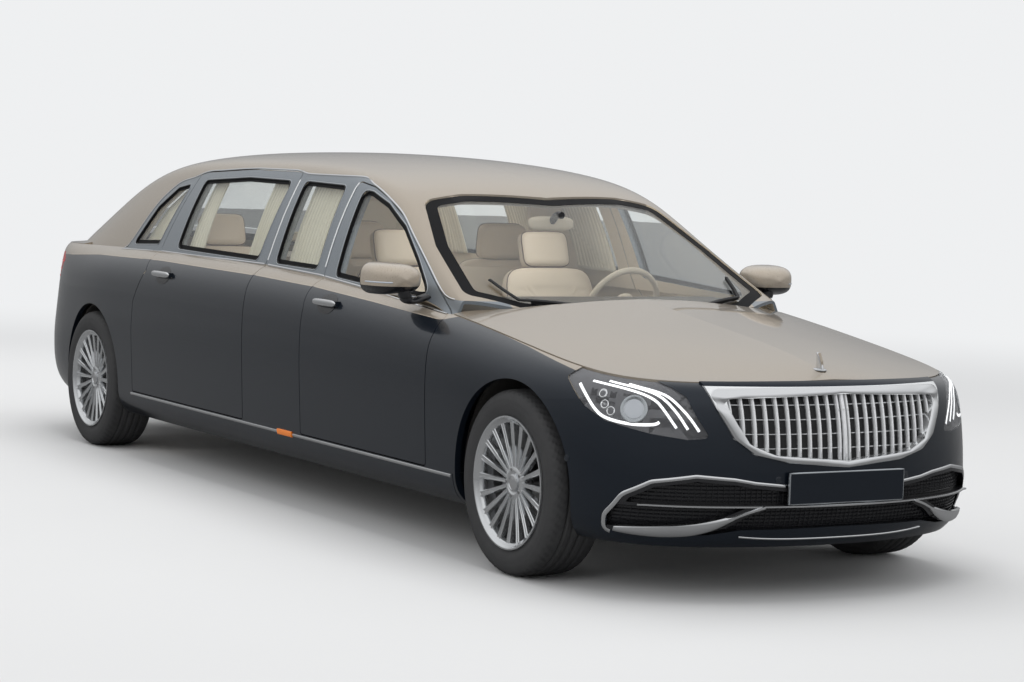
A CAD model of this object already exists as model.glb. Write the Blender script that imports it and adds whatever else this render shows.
"""Looks of a stretch limousine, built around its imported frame. Metres, nose towards +X, left towards +Y."""
import math

import bpy
import numpy as np
from mathutils import Matrix, Vector
from mathutils.bvhtree import BVHTree
import bmesh


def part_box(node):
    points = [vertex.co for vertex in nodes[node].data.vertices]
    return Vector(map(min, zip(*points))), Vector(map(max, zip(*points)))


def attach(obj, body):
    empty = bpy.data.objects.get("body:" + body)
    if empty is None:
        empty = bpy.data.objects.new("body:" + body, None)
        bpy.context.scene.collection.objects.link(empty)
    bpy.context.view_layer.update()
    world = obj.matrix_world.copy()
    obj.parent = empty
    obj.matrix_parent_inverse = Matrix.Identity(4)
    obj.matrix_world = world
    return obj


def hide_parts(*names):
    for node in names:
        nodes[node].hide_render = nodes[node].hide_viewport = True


bl_info = {
    "name": "Stretch limousine looks",
    "version": (1, 0, 0),
    "blender": (4, 5, 0),
    "location": "View3D > Sidebar > Limousine",
    "description": "Dresses the frame of a stretch limousine with paint, trim, lamps, wheels and cabin",
    "category": "Object",
}

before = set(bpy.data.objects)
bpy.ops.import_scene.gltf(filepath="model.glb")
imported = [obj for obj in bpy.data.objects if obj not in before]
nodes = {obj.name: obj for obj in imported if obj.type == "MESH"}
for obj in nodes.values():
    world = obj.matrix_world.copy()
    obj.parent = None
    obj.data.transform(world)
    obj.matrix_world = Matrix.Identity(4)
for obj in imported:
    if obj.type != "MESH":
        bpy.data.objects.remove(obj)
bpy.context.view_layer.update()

SIDES = (("right", -1), ("left", 1))
GRILLE_MIDDLE = 0.655     # height about which the grille's outlines are swept
AHEAD = 3.6               # x in front of the nose, where rays start
HOOD_EDGE = 0.789         # height above which the grille's ring is painted like the body
PAINT_ROUGH = (0.26, 0.34)
FLAKE_SCALE = 900
CORNERS = ("front_right", "front_left", "rear_right", "rear_left")


# Places taken from the frame
def low(node):
    return np.array(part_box(node)[0])


def high(node):
    return np.array(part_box(node)[1])


# The side windows' outlines, (x, z), in the order front door, fixed, rear door, quarter
FRONT_WINDOW = ((1.490, 1.004), (1.266, 1.159), (1.060, 1.288), (0.854, 1.376), (0.672, 1.424), (0.583, 1.430),
                (0.631, 1.050), (0.884, 1.037))
FIXED_WINDOW = ((0.434, 1.070), (0.410, 1.444), (-0.018, 1.455), (-0.009, 1.076))
REAR_WINDOW = ((-0.211, 1.079), (-0.156, 1.453), (-0.644, 1.458), (-1.163, 1.433), (-1.198, 1.090))
QUARTER_WINDOW = ((-1.322, 1.410), (-1.454, 1.102), (-1.800, 1.087), (-1.641, 1.285), (-1.475, 1.387))
# The windscreen's opening from above, (x, y), left half from the foot's middle to the head's
SCREEN_OPENING = ((1.893, 0.0), (1.878, 0.3356), (1.8005, 0.559), (1.655, 0.747), (1.291, 0.691),
                  (0.976, 0.587),
                  (0.966, 0.3995), (1.034, 0.0))
# The lower intake's outline on one side, (y, z)
INTAKE_OUTLINE = ((0.10, 0.4259), (0.266, 0.4259), (0.380, 0.4366), (0.456, 0.4494), (0.589, 0.4601),
                  (0.7216, 0.4366),
                  (0.793, 0.387), (0.824, 0.310), (0.8147, 0.2525), (0.7026, 0.2418), (0.532, 0.2504),
                  (0.418, 0.2696),
                  (0.10, 0.2761))
# The lines that part the colours, (x, z): coachline, belt and drip line
COACHLINE = ((-3.3, 0.968), (-2.62, 0.991), (-2.111, 1.015), (-1.235, 1.026), (-0.055, 1.015), (0.542, 0.999),
             (1.10, 0.970), (1.684, 0.933), (1.76, 0.955), (1.93, 0.93), (2.30, 0.874), (2.67, 0.812),
             (3.2, 0.70))
BELT = ((-1.95, 1.054), (-1.374, 1.067), (-0.130, 1.065), (0.481, 1.047), (0.868, 1.022), (1.658, 0.955))


# Shader node groups, each built once
def group_tree(name, inputs, outputs):
    tree = bpy.data.node_groups.new(name, "ShaderNodeTree")
    for socket, kind, value in inputs:
        made = tree.interface.new_socket(name=socket, in_out="INPUT", socket_type=kind)
        if value is not None:
            made.default_value = value
    for socket, kind in outputs:
        tree.interface.new_socket(name=socket, in_out="OUTPUT", socket_type=kind)
    return tree, tree.nodes.new("NodeGroupInput"), tree.nodes.new("NodeGroupOutput")


def node(tree, kind, link=None, **values):
    """A node with its settings, and its inputs set or linked by name or number."""
    made = tree.nodes.new(kind)
    for name, value in values.items():
        setattr(made, name, value)
    for socket, source in (link or {}).items():
        if isinstance(source, (int, float, tuple)):
            made.inputs[socket].default_value = source
        else:
            tree.links.new(source, made.inputs[socket])
    return made


def math_node(tree, operation, a, b=0.0, c=0.0, clamp=False):
    made = node(tree, "ShaderNodeMath", {0: a, 1: b, 2: c}, operation=operation)
    made.use_clamp = clamp
    return made.outputs[0]


def mixed(tree, factor, a, b):
    made = node(tree, "ShaderNodeMix", {"Factor": factor}, data_type="RGBA")
    for socket, source in ((6, a), (7, b)):
        if isinstance(source, tuple):
            made.inputs[socket].default_value = source
        else:
            tree.links.new(source, made.inputs[socket])
    return made.outputs[2]


def mottle_group():
    """Soft variation over a surface: two noises blend two colours, and give a roughness and a height."""
    tree, into, out = group_tree(
        "mottle",
        (("Scale", "NodeSocketFloat", 6.0), ("Grain", "NodeSocketFloat", 300.0),
         ("Colour A", "NodeSocketColor", (0.5, 0.5, 0.5, 1)),
         ("Colour B", "NodeSocketColor", (0.4, 0.4, 0.4, 1)),
         ("Rough low", "NodeSocketFloat", 0.3), ("Rough high", "NodeSocketFloat", 0.5)),
        (("Colour", "NodeSocketColor"), ("Roughness", "NodeSocketFloat"), ("Height", "NodeSocketFloat")),
    )
    place = node(tree, "ShaderNodeTexCoord").outputs["Object"]
    broad = node(tree, "ShaderNodeTexNoise", {"Vector": place, "Scale": into.outputs["Scale"], "Detail": 3.0})
    fine = node(tree, "ShaderNodeTexNoise", {"Vector": place, "Scale": into.outputs["Grain"], "Detail": 2.0})
    colour = mixed(tree, broad.outputs[0], into.outputs["Colour A"], into.outputs["Colour B"])
    rough = node(tree, "ShaderNodeMapRange", {"Value": fine.outputs[0], "From Min": 0.3, "From Max": 0.7,
                                               "To Min": into.outputs["Rough low"],
                                               "To Max": into.outputs["Rough high"]})
    tree.links.new(colour, out.inputs["Colour"])
    tree.links.new(rough.outputs[0], out.inputs["Roughness"])
    tree.links.new(fine.outputs[0], out.inputs["Height"])
    return tree


def height_mask_group(name, line):
    """1 where Object Z is above a line of height over Object X, else 0, with a narrow soft edge."""
    tree, _, out = group_tree(name, (), (("Mask", "NodeSocketFloat"),))
    place = node(tree, "ShaderNodeTexCoord").outputs["Object"]
    parts = node(tree, "ShaderNodeSeparateXYZ", {0: place})
    along = math_node(tree, "MULTIPLY_ADD", parts.outputs[0], 1 / 7.0, 0.5)
    curve = node(tree, "ShaderNodeFloatCurve", {"Value": along})
    points = curve.mapping.curves[0].points
    stops = [(x / 7.0 + 0.5, z / 2.0) for x, z in line]
    stops = [(0.0, stops[0][1])] + stops + [(1.0, stops[-1][1])]
    for place_x, value in stops[1:-1]:
        points.new(place_x, value)
    for point, (place_x, value) in zip(points, stops):
        point.location = (place_x, value)
        point.handle_type = "VECTOR"
    curve.mapping.update()
    height = math_node(tree, "MULTIPLY", curve.outputs[0], 2.0)
    over = math_node(tree, "SUBTRACT", parts.outputs[2], height)
    sharp = math_node(tree, "MULTIPLY_ADD", over, 1500.0, 0.5, clamp=True)
    tree.links.new(sharp, out.inputs["Mask"])
    return tree


GROUPS = {}


def group(name):
    """The named node group, built the first time that it is asked for."""
    if name not in GROUPS:
        GROUPS[name] = {
            "mottle": mottle_group,
            "coachline": lambda: height_mask_group("coachline", COACHLINE),
            "belt": lambda: height_mask_group("belt", BELT),
            "drip": lambda: height_mask_group("drip", DRIP),
        }[name]()
    return GROUPS[name]


def finish_of(name, colour, other=None, rough=(0.3, 0.4), scale=5.0, grain=300.0, bump=0.0, metallic=0.0,
              coat=0.0, transmission=0.0, alpha=1.0, emission=0.0, sheen=0.0, ior=1.45, specular=0.5):
    """A procedural finish: mottled colour and roughness, a grain height, and plain values on the shader."""
    if name in bpy.data.materials:
        return bpy.data.materials[name]
    material = bpy.data.materials.new(name)
    material.use_nodes = True
    tree = material.node_tree
    shader = tree.nodes["Principled BSDF"]
    other = other or tuple(c * 0.86 for c in colour)
    mottle = node(tree, "ShaderNodeGroup", node_tree=group("mottle"))
    for socket, value in (("Scale", scale), ("Grain", grain), ("Colour A", (*colour, 1)),
                          ("Colour B", (*other, 1)),
                          ("Rough low", rough[0]), ("Rough high", rough[1])):
        mottle.inputs[socket].default_value = value
    tree.links.new(mottle.outputs["Colour"], shader.inputs["Base Color"])
    tree.links.new(mottle.outputs["Roughness"], shader.inputs["Roughness"])
    if bump:
        raised = node(tree, "ShaderNodeBump", {"Height": mottle.outputs["Height"], "Strength": bump,
                                                "Distance": 0.001})
        tree.links.new(raised.outputs[0], shader.inputs["Normal"])
    shader.inputs["Metallic"].default_value = metallic
    shader.inputs["Coat Weight"].default_value = coat
    shader.inputs["Coat Roughness"].default_value = 0.03
    shader.inputs["Transmission Weight"].default_value = transmission
    shader.inputs["Alpha"].default_value = alpha
    shader.inputs["IOR"].default_value = ior
    shader.inputs["Sheen Weight"].default_value = sheen
    shader.inputs["Specular IOR Level"].default_value = specular
    if emission:
        shader.inputs["Emission Color"].default_value = (*colour, 1)
        shader.inputs["Emission Strength"].default_value = emission
    return material


def body_paint(name, upper, lower, with_frames):
    """Two-tone metallic paint parted by the coachline, with satin metal frames between belt and drip line."""
    material = bpy.data.materials.new(name)
    material.use_nodes = True
    tree = material.node_tree
    shader = tree.nodes["Principled BSDF"]
    masks = {}
    for line in ("coachline", "belt", "drip"):
        masks[line] = node(tree, "ShaderNodeGroup", node_tree=group(line)).outputs[0]
    tones = []
    for colour in (upper, lower):
        mottle = node(tree, "ShaderNodeGroup", node_tree=group("mottle"))
        mottle.inputs["Scale"].default_value = 900.0
        mottle.inputs["Grain"].default_value = 1500.0
        mottle.inputs["Colour A"].default_value = (*colour, 1)
        mottle.inputs["Colour B"].default_value = (*[c * 0.8 for c in colour], 1)
        mottle.inputs["Rough low"].default_value = 0.26
        mottle.inputs["Rough high"].default_value = 0.34
        tones.append(mottle)
    colour = mixed(tree, masks["coachline"], tones[1].outputs[0], tones[0].outputs[0])
    rough = tones[0].outputs["Roughness"]
    if with_frames:
        below_drip = math_node(tree, "SUBTRACT", 1.0, masks["drip"])
        frames = math_node(tree, "MULTIPLY", masks["belt"], below_drip)
        place = node(tree, "ShaderNodeTexCoord").outputs["Object"]
        parts = node(tree, "ShaderNodeSeparateXYZ", {0: place})
        wide = math_node(tree, "ABSOLUTE", parts.outputs[1])
        outer = math_node(tree, "GREATER_THAN", wide, 0.60)
        frames = math_node(tree, "MULTIPLY", frames, outer)
        colour = mixed(tree, frames, colour, (0.20, 0.225, 0.25, 1))
    tree.links.new(colour, shader.inputs["Base Color"])
    tree.links.new(rough, shader.inputs["Roughness"])
    shader.inputs["Metallic"].default_value = 0.55
    shader.inputs["Specular IOR Level"].default_value = 0.3
    shader.inputs["Coat Weight"].default_value = 1.0
    shader.inputs["Coat IOR"].default_value = 1.36
    shader.inputs["Coat Roughness"].default_value = 0.02
    return material


# Surfaces
def add_piece(name, vertices, faces, body, material, smooth=True, split_angle=None):
    """A mesh object at the origin that rides on a body."""
    mesh = bpy.data.meshes.new(name)
    mesh.from_pydata(vertices.tolist(), [], faces)
    mesh.update()
    mesh.materials.append(material)
    mesh.polygons.foreach_set("use_smooth", np.full(len(mesh.polygons), smooth))
    if smooth and split_angle is not None:
        mesh.set_sharp_from_angle(angle=math.radians(split_angle))
    made = bpy.data.objects.new(name, mesh)
    bpy.context.scene.collection.objects.link(made)
    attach(made, body)
    return made


def grid_faces(rows, columns, wrap_rows=False, wrap_columns=False, start=0):
    """Quads of a grid of points numbered row by row."""
    numbers = np.arange(rows * columns).reshape(rows, columns) + start
    if wrap_rows:
        numbers = np.vstack([numbers, numbers[:1]])
    if wrap_columns:
        numbers = np.hstack([numbers, numbers[:, :1]])
    a, b, c, d = numbers[:-1, :-1], numbers[:-1, 1:], numbers[1:, 1:], numbers[1:, :-1]
    return np.stack([a, b, c, d], axis=-1).reshape(-1, 4)


def grids_piece(name, grids, body, material, wrap_rows=False, wrap_columns=False, cap_rows=False, smooth=True,
                split_angle=40, outward=True):
    """One piece of many grids of points (rows, columns, 3). Capped rows get a face over each end row."""
    points, faces, start = [], [], 0
    for grid in grids:
        rows, columns = grid.shape[:2]
        points.append(grid.reshape(-1, 3))
        faces += grid_faces(rows, columns, wrap_rows, wrap_columns, start).tolist()
        if cap_rows:
            ends = np.arange(rows * columns).reshape(rows, columns) + start
            faces.append(ends[0][::-1].tolist())
            faces.append(ends[-1].tolist())
        start += rows * columns
    made = add_piece(name, np.vstack(points), faces, body, material, smooth, split_angle)
    if outward:
        face_outwards(made)
    return made


def face_outwards(piece):
    work = bmesh.new()
    work.from_mesh(piece.data)
    bmesh.ops.recalc_face_normals(work, faces=work.faces)
    work.to_mesh(piece.data)
    work.free()


def unit(vectors):
    return vectors / np.maximum(np.linalg.norm(vectors, axis=-1, keepdims=True), 1e-9)


def signed_power(value, power):
    """A value raised to a power, with its sign kept: it rounds or squares an ellipse."""
    return np.sign(value) * np.abs(value) ** power


def along(path, closed=False):
    """Unit tangents of a path."""
    if closed:
        return unit(np.roll(path, -1, axis=0) - np.roll(path, 1, axis=0))
    return unit(np.gradient(path, axis=0))


def evenly(path, count, closed=False):
    """A path's points spread evenly by length."""
    path = np.asarray(path, float)
    if closed:
        path = np.vstack([path, path[:1]])
    reach = np.concatenate([[0], np.cumsum(np.linalg.norm(np.diff(path, axis=0), axis=1))])
    stops = np.linspace(0, reach[-1], count, endpoint=not closed)
    return np.stack([np.interp(stops, reach, path[:, k]) for k in range(path.shape[1])], axis=1)


def rounded(path, rounds=3, closed=False):
    """Corner cutting: each run is replaced by its points at a quarter and three quarters."""
    path = np.asarray(path, float)
    for _ in range(rounds):
        ahead = np.roll(path, -1, axis=0) if closed else path[1:]
        here = path if closed else path[:-1]
        cut = np.stack([0.75 * here + 0.25 * ahead, 0.25 * here + 0.75 * ahead], axis=1).reshape(-1,
                                                                                                 path.shape[1])
        path = cut if closed else np.vstack([path[:1], cut, path[-1:]])
    return path


def filleted(outline, radius, steps=6):
    """A closed outline of straight runs, with a tangent arc at each corner."""
    outline = np.asarray(outline, float)
    points = []
    for before, corner, after in zip(np.roll(outline, 1, axis=0), outline, np.roll(outline, -1, axis=0)):
        back, ahead = before - corner, after - corner
        lengths = np.linalg.norm(back), np.linalg.norm(ahead)
        half = math.acos(np.clip(back @ ahead / (lengths[0] * lengths[1]), -1, 1)) / 2
        cut = min(radius / max(math.tan(half), 1e-6), 0.48 * min(lengths))
        if half > math.pi / 2 - 0.02:
            points.append(corner)
            continue
        start, end = corner + back / lengths[0] * cut, corner + ahead / lengths[1] * cut
        share = np.linspace(0, 1, steps)[:, None]
        points += list((1 - share) ** 2 * start + 2 * share * (1 - share) * corner + share ** 2 * end)
    return np.array(points)


def ribbon_grid(path, normals, width, height, closed=False, sink=0.002, shape=None):
    """A low arched section (width, height) carried along a path on a surface, its edges sunk a little."""
    side = unit(np.cross(along(path, closed), normals))
    share = shape if shape is not None else ((-0.5, -1), (-0.5, 0.55), (-0.34, 0.9), (0, 1), (0.34, 0.9),
                                             (0.5, 0.55), (0.5, -1))
    section = np.array([(u * width, v * height if v > 0 else -sink) for u, v in share])
    return path[:, None] + side[:, None] * section[None, :, :1] + normals[:, None] * section[None, :, 1:]


def tube_grid(path, radius, around=12, closed=False):
    """A round tube along a path; radius may be an array along it."""
    path = np.asarray(path, float)
    tangent = along(path, closed)
    seed = np.where(np.abs(tangent[:, 2:3]) < 0.9, [[0.0, 0.0, 1.0]], [[1.0, 0.0, 0.0]])
    side = unit(np.cross(tangent, seed))
    up = np.cross(side, tangent)
    turn = np.linspace(0, 2 * np.pi, around, endpoint=False)
    radius = np.broadcast_to(np.asarray(radius, float), (len(path),))[:, None, None]
    ring = side[:, None] * np.cos(turn)[None, :, None] + up[:, None] * np.sin(turn)[None, :, None]
    return path[:, None] + radius * ring


def turned_grid(profile, centre, axis, count):
    """A profile of (radius, place along the axis) turned about an axis through a centre."""
    axis = unit(np.asarray(axis, float))
    seed = np.array([0.0, 0.0, 1.0]) if abs(axis[2]) < 0.9 else np.array([1.0, 0.0, 0.0])
    u = unit(np.cross(seed, axis))
    v = np.cross(axis, u)
    turn = np.linspace(0, 2 * np.pi, count, endpoint=False)
    profile = np.asarray(profile, float)
    ring = u[None] * np.cos(turn)[:, None] + v[None] * np.sin(turn)[:, None]
    return np.asarray(centre) + profile[None, :, :1] * ring[:, None] + profile[None, :, 1:] * axis


class Skin:
    """The outer faces of some nodes, for laying pieces on them."""

    def __init__(self, *names):
        points, faces, start = [], [], 0
        for name in names:
            mesh = nodes[name].data
            where = np.empty(len(mesh.vertices) * 3)
            mesh.vertices.foreach_get("co", where)
            mesh.calc_loop_triangles()
            corners = np.empty(len(mesh.loop_triangles) * 3, int)
            mesh.loop_triangles.foreach_get("vertices", corners)
            points.append(where.reshape(-1, 3))
            faces.append(corners.reshape(-1, 3) + start)
            start += len(mesh.vertices)
        self.tree = BVHTree.FromPolygons(np.vstack(points).tolist(), np.vstack(faces).tolist())

    def hit(self, origins, direction):
        """Where rays meet the skin, with outward normals. A miss takes the nearest hit's place."""
        direction = Vector(direction).normalized()
        found = [self.tree.ray_cast(Vector(origin), direction) for origin in origins]
        good = [k for k, (place, *_) in enumerate(found) if place is not None]
        if not good:
            raise RuntimeError("no ray meets the skin")
        places = np.array([found[min(good, key=lambda g: abs(g - k))][0] for k in range(len(found))])
        normals = np.array([found[min(good, key=lambda g: abs(g - k))][1] for k in range(len(found))])
        facing = np.sign(-(normals @ np.array(direction)))[:, None]
        return places, normals * np.where(facing == 0, 1, facing)

    def from_side(self, outline, sign):
        outline = np.asarray(outline, float)
        origins = np.stack([outline[:, 0], np.full(len(outline), 1.3 * sign), outline[:, 1]], axis=1)
        return self.hit(origins, (0, -sign, 0))

    def from_front(self, outline):
        outline = np.asarray(outline, float)
        origins = np.stack([np.full(len(outline), 3.6), outline[:, 0], outline[:, 1]], axis=1)
        return self.hit(origins, (-1, 0, 0))

    def from_back(self, outline):
        outline = np.asarray(outline, float)
        origins = np.stack([np.full(len(outline), -3.6), outline[:, 0], outline[:, 1]], axis=1)
        return self.hit(origins, (1, 0, 0))

    def from_above(self, outline):
        outline = np.asarray(outline, float)
        origins = np.stack([outline[:, 0], outline[:, 1], np.full(len(outline), 2.0)], axis=1)
        return self.hit(origins, (0, 0, -1))


def calm(normals, rounds=3, closed=False):
    """Normals evened out along a path."""
    for _ in range(rounds):
        if closed:
            normals = unit(normals + np.roll(normals, 1, axis=0) + np.roll(normals, -1, axis=0))
        else:
            padded = np.vstack([normals[:1], normals, normals[-1:]])
            normals = unit(padded[:-2] + padded[1:-1] + padded[2:])
    return normals


def grown(outline, reach):
    """A closed outline moved outwards by a reach, each corner along its bisector."""
    outline = np.asarray(outline, float)
    tangent = along(outline, True)
    normal = np.stack([tangent[:, 1], -tangent[:, 0]], axis=1)
    middle = outline.mean(axis=0)
    if ((outline - middle) * normal).sum() < 0:
        normal = -normal
    return outline + normal * reach


def clipped(line, start, end, count=60):
    """The part of a line of (x, z) between two x values, resampled evenly."""
    line = np.asarray(line, float)
    xs = np.linspace(start, end, count)
    return np.stack([xs, np.interp(xs, line[:, 0], line[:, 1])], axis=1)


def door_tops():
    """The drip line, (x, z): just over the doors and the fixed panel, and round the quarter glass.

    At each place along the car, rays from the side climb in even steps until none meets a door."""
    skin = Skin("door_front_right", "door_rear_right", "side_panel_right")
    glass = grown(evenly(filleted(QUARTER_WINDOW, 0.0175), 300, closed=True), 0.036)
    line = [(-1.98, 1.03), (-1.905, 1.052)]
    for x in np.linspace(-1.83, -1.34, 14):
        line.append((x, glass[np.abs(glass[:, 0] - x) < 0.012][:, 1].max()))
    for x in np.linspace(-1.24, 1.66, 75):
        levels = np.arange(1.0, 1.54, 0.004)
        met = [skin.tree.ray_cast(Vector((x, -1.3, z)), Vector((0, 1, 0)))[0] for z in levels]
        tops = [z for z, place in zip(levels, met) if place is not None and place.y < 0]
        if tops:
            line.append((x, max(tops) + 0.010))
    line = clipped(line, -1.98, 1.66, 120)
    for _ in range(3):
        line[1:-1, 1] = (line[:-2, 1] + 2 * line[1:-1, 1] + line[2:, 1]) / 4
    return line


DRIP = door_tops()


# Finishes
class Finishes:
    """Every finish of the car, made when it is first asked for."""

    def __getattr__(self, name):
        made = {
            "bright": lambda: finish_of("bright_trim", (0.92, 0.93, 0.94), (0.90, 0.91, 0.92),
                                        rough=(0.06, 0.10), metallic=0.72),
            "satin": lambda: finish_of("satin_trim", (0.42, 0.44, 0.46), rough=(0.25, 0.32), metallic=0.9),
            "alloy": lambda: finish_of("polished_alloy", (0.88, 0.89, 0.90), rough=(0.12, 0.2), metallic=0.7,
                                       grain=900),
            "iron": lambda: finish_of("disc_iron", (0.42, 0.42, 0.43), rough=(0.3, 0.4), metallic=1.0,
                                      grain=500),
            "black": lambda: finish_of("black_trim", (0.012, 0.012, 0.014), rough=(0.25, 0.35), coat=0.3),
            "matt_black": lambda: finish_of("matt_black", (0.016, 0.016, 0.017), rough=(0.55, 0.7), bump=0.2),
            "seal": lambda: finish_of("rubber_seal", (0.01, 0.01, 0.01), rough=(0.5, 0.6), bump=0.2),
            "under": lambda: finish_of("underbody", (0.03, 0.03, 0.03), (0.05, 0.045, 0.04), rough=(0.6, 0.8),
                                       bump=0.5, scale=12),
            "tread": lambda: finish_of("tyre_rubber", (0.028, 0.028, 0.03), (0.04, 0.04, 0.04),
                                       rough=(0.62, 0.78), bump=0.3, grain=700, scale=20),
            "pane": lambda: lets_lamps_through(finish_of("window_pane", (0.84, 0.86, 0.85), (0.82, 0.84, 0.83),
                                                         coat=0.8,
                                                         rough=(0.0, 0.004), transmission=1.0, ior=1.03),
                                                         (0.88, 0.89, 0.88)),
            "screen": lambda: lets_lamps_through(finish_of("screen_pane", (0.92, 0.94, 0.93),
                                                           (0.90, 0.92, 0.91), coat=0.8,
                                                           rough=(0.0, 0.004), transmission=1.0, ior=1.03),
                                                           (0.92, 0.93, 0.92)),
            "clear": lambda: lets_lamps_through(finish_of("lamp_cover", (0.98, 0.985, 0.985),
                                                          (0.97, 0.98, 0.98), coat=0.15,
                                                          rough=(0.0, 0.01), transmission=1.0, ior=1.01),
                                                          (0.97, 0.97, 0.97)),
            "projector": lambda: finish_of("projector_lens", (0.50, 0.52, 0.55), (0.38, 0.40, 0.43),
                                           rough=(0.05, 0.1),
                                           metallic=0.6, coat=1.0, scale=14),
            "band": lambda: finish_of("printed_band", (0.006, 0.006, 0.007), rough=(0.5, 0.6), specular=0.12),
            "frame_edge": lambda: finish_of("frame_edge", (0.50, 0.53, 0.56), rough=(0.18, 0.24), metallic=0.9),
            "pillar_line": lambda: finish_of("pillar_line", (0.86, 0.87, 0.88), rough=(0.25, 0.32),
                                             metallic=0.35, coat=0.5),
            "vane": lambda: finish_of("vane_metal", (0.90, 0.91, 0.92), rough=(0.16, 0.24), metallic=0.25,
                                      coat=0.8),
            "pleats": lambda: pleated(finish_of("pleated_cloth", (0.93, 0.87, 0.71), rough=(0.7, 0.85),
                                                bump=0.2, grain=900,
                                                sheen=0.2)),
            "red": lambda: finish_of("red_lamp", (0.42, 0.008, 0.010), (0.30, 0.005, 0.006), rough=(0.08, 0.14),
                                     coat=0.6, scale=30),
            "amber": lambda: finish_of("amber_lamp", (0.85, 0.22, 0.02), rough=(0.1, 0.2), coat=0.5),
            "lit": lambda: finish_of("light_guide", (0.93, 0.94, 0.95), (0.9, 0.91, 0.92), rough=(0.1, 0.2),
                                     emission=0.75),
            "leather": lambda: finish_of("pale_leather", (0.62, 0.53, 0.41), (0.56, 0.47, 0.36),
                                         rough=(0.42, 0.55), bump=0.35, grain=420, scale=8),
            "brown_leather": lambda: finish_of("brown_leather", (0.10, 0.06, 0.045), rough=(0.4, 0.5),
                                               bump=0.35, grain=420),
            "dark_leather": lambda: finish_of("dark_leather", (0.045, 0.042, 0.04), rough=(0.45, 0.6),
                                              bump=0.35, grain=420),
            "carpet": lambda: finish_of("carpet", (0.20, 0.165, 0.125), rough=(0.9, 1.0), bump=1.0, grain=900,
                                        sheen=0.3),
            "cloth": lambda: finish_of("curtain_cloth", (0.72, 0.67, 0.55), (0.66, 0.61, 0.50),
                                       rough=(0.7, 0.85), bump=0.5, grain=1200, scale=9, sheen=0.3),
            "lamp_bowl": lambda: finish_of("lamp_bowl", (0.10, 0.105, 0.11), (0.07, 0.073, 0.078),
                                           rough=(0.5, 0.6), metallic=0.3, scale=9),
            "lamp_glass": lambda: finish_of("lamp_glass", (0.55, 0.60, 0.66), (0.50, 0.55, 0.62),
                                            rough=(0.03, 0.06), metallic=0.35, coat=1.0),
            "red_bright": lambda: finish_of("red_bar", (0.75, 0.03, 0.03), rough=(0.1, 0.2), coat=0.6,
                                            emission=0.1),
            "mirror_cap": lambda: split_at(finish_of("mirror_cap", (0.012, 0.012, 0.014), rough=PAINT_ROUGH,
                                                     metallic=0.4,
                                                     coat=1.0, scale=FLAKE_SCALE),
                                                     high("mirror_right")[2] - 0.095,
                                           tuple(colours().upper)),
            "mirror_glass": lambda: finish_of("mirror_glass", (0.75, 0.77, 0.78), rough=(0.01, 0.02),
                                              metallic=1.0),
            "sensor": lambda: finish_of("sensor_paint", tuple(colours().lower), rough=PAINT_ROUGH,
                                        metallic=0.55, coat=1.0, scale=FLAKE_SCALE),
            "upper_line": lambda: finish_of("coachline", tuple(colours().upper), rough=(0.3, 0.4), coat=0.6),
            "dash": lambda: finish_of("dashboard_cover", (0.09, 0.075, 0.06), (0.07, 0.06, 0.05),
                                      rough=(0.5, 0.65), bump=0.4, grain=420),
            "grille_metal": lambda: split_at(finish_of("grille_metal", (0.92, 0.93, 0.94), (0.90, 0.91, 0.92),
                                                       rough=(0.06, 0.10), metallic=0.72),
                                             HOOD_EDGE, tuple(colours().lower)),
            "plate": lambda: finish_of("plate_face", (0.013, 0.013, 0.014), rough=(0.35, 0.45), grain=200,
                                       specular=0.3),
            "steel": lambda: finish_of("exhaust_steel", (0.4, 0.39, 0.37), (0.3, 0.28, 0.26), rough=(0.3, 0.45),
                                       metallic=1.0, scale=20),
            "engine": lambda: finish_of("engine_cover", (0.06, 0.06, 0.06), rough=(0.5, 0.6), bump=0.4),
        }[name]()
        setattr(self, name, made)
        return made


F = Finishes()


def split_at(material, height, above):
    """Paints what lies above a height in another colour: the mask is a step of Object Z."""
    tree = material.node_tree
    shader = tree.nodes["Principled BSDF"]
    rise = node(tree, "ShaderNodeSeparateXYZ", {0: node(tree,
                                                        "ShaderNodeTexCoord").outputs["Object"]}).outputs[2]
    over = math_node(tree, "GREATER_THAN", rise, height)
    own = shader.inputs["Base Color"].links[0].from_socket
    tree.links.new(mixed(tree, over, own, (*above, 1)), shader.inputs["Base Color"])
    return material


def pleated(material):
    """Darkens the valleys between pleats, where the piece's attribute "fold" is 0; it is 1 on the crests."""
    tree = material.node_tree
    shader = tree.nodes["Principled BSDF"]
    fold = node(tree, "ShaderNodeAttribute", attribute_name="fold").outputs["Fac"]
    own = shader.inputs["Base Color"].links[0].from_socket
    tree.links.new(mixed(tree, fold, (0.55, 0.50, 0.39, 1), own), shader.inputs["Base Color"])
    return material


def lets_lamps_through(material, tint):
    """Glass to the camera, and plain tinted air to the lamps' rays, which reach what is behind."""
    tree = material.node_tree
    shader, output = tree.nodes["Principled BSDF"], tree.nodes["Material Output"]
    clear = node(tree, "ShaderNodeBsdfTransparent", {"Color": (*tint, 1)})
    mix = node(tree, "ShaderNodeMixShader", {0: node(tree, "ShaderNodeLightPath").outputs["Is Shadow Ray"]})
    tree.links.new(shader.outputs[0], mix.inputs[1])
    tree.links.new(clear.outputs[0], mix.inputs[2])
    tree.links.new(mix.outputs[0], output.inputs["Surface"])
    return material


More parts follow.
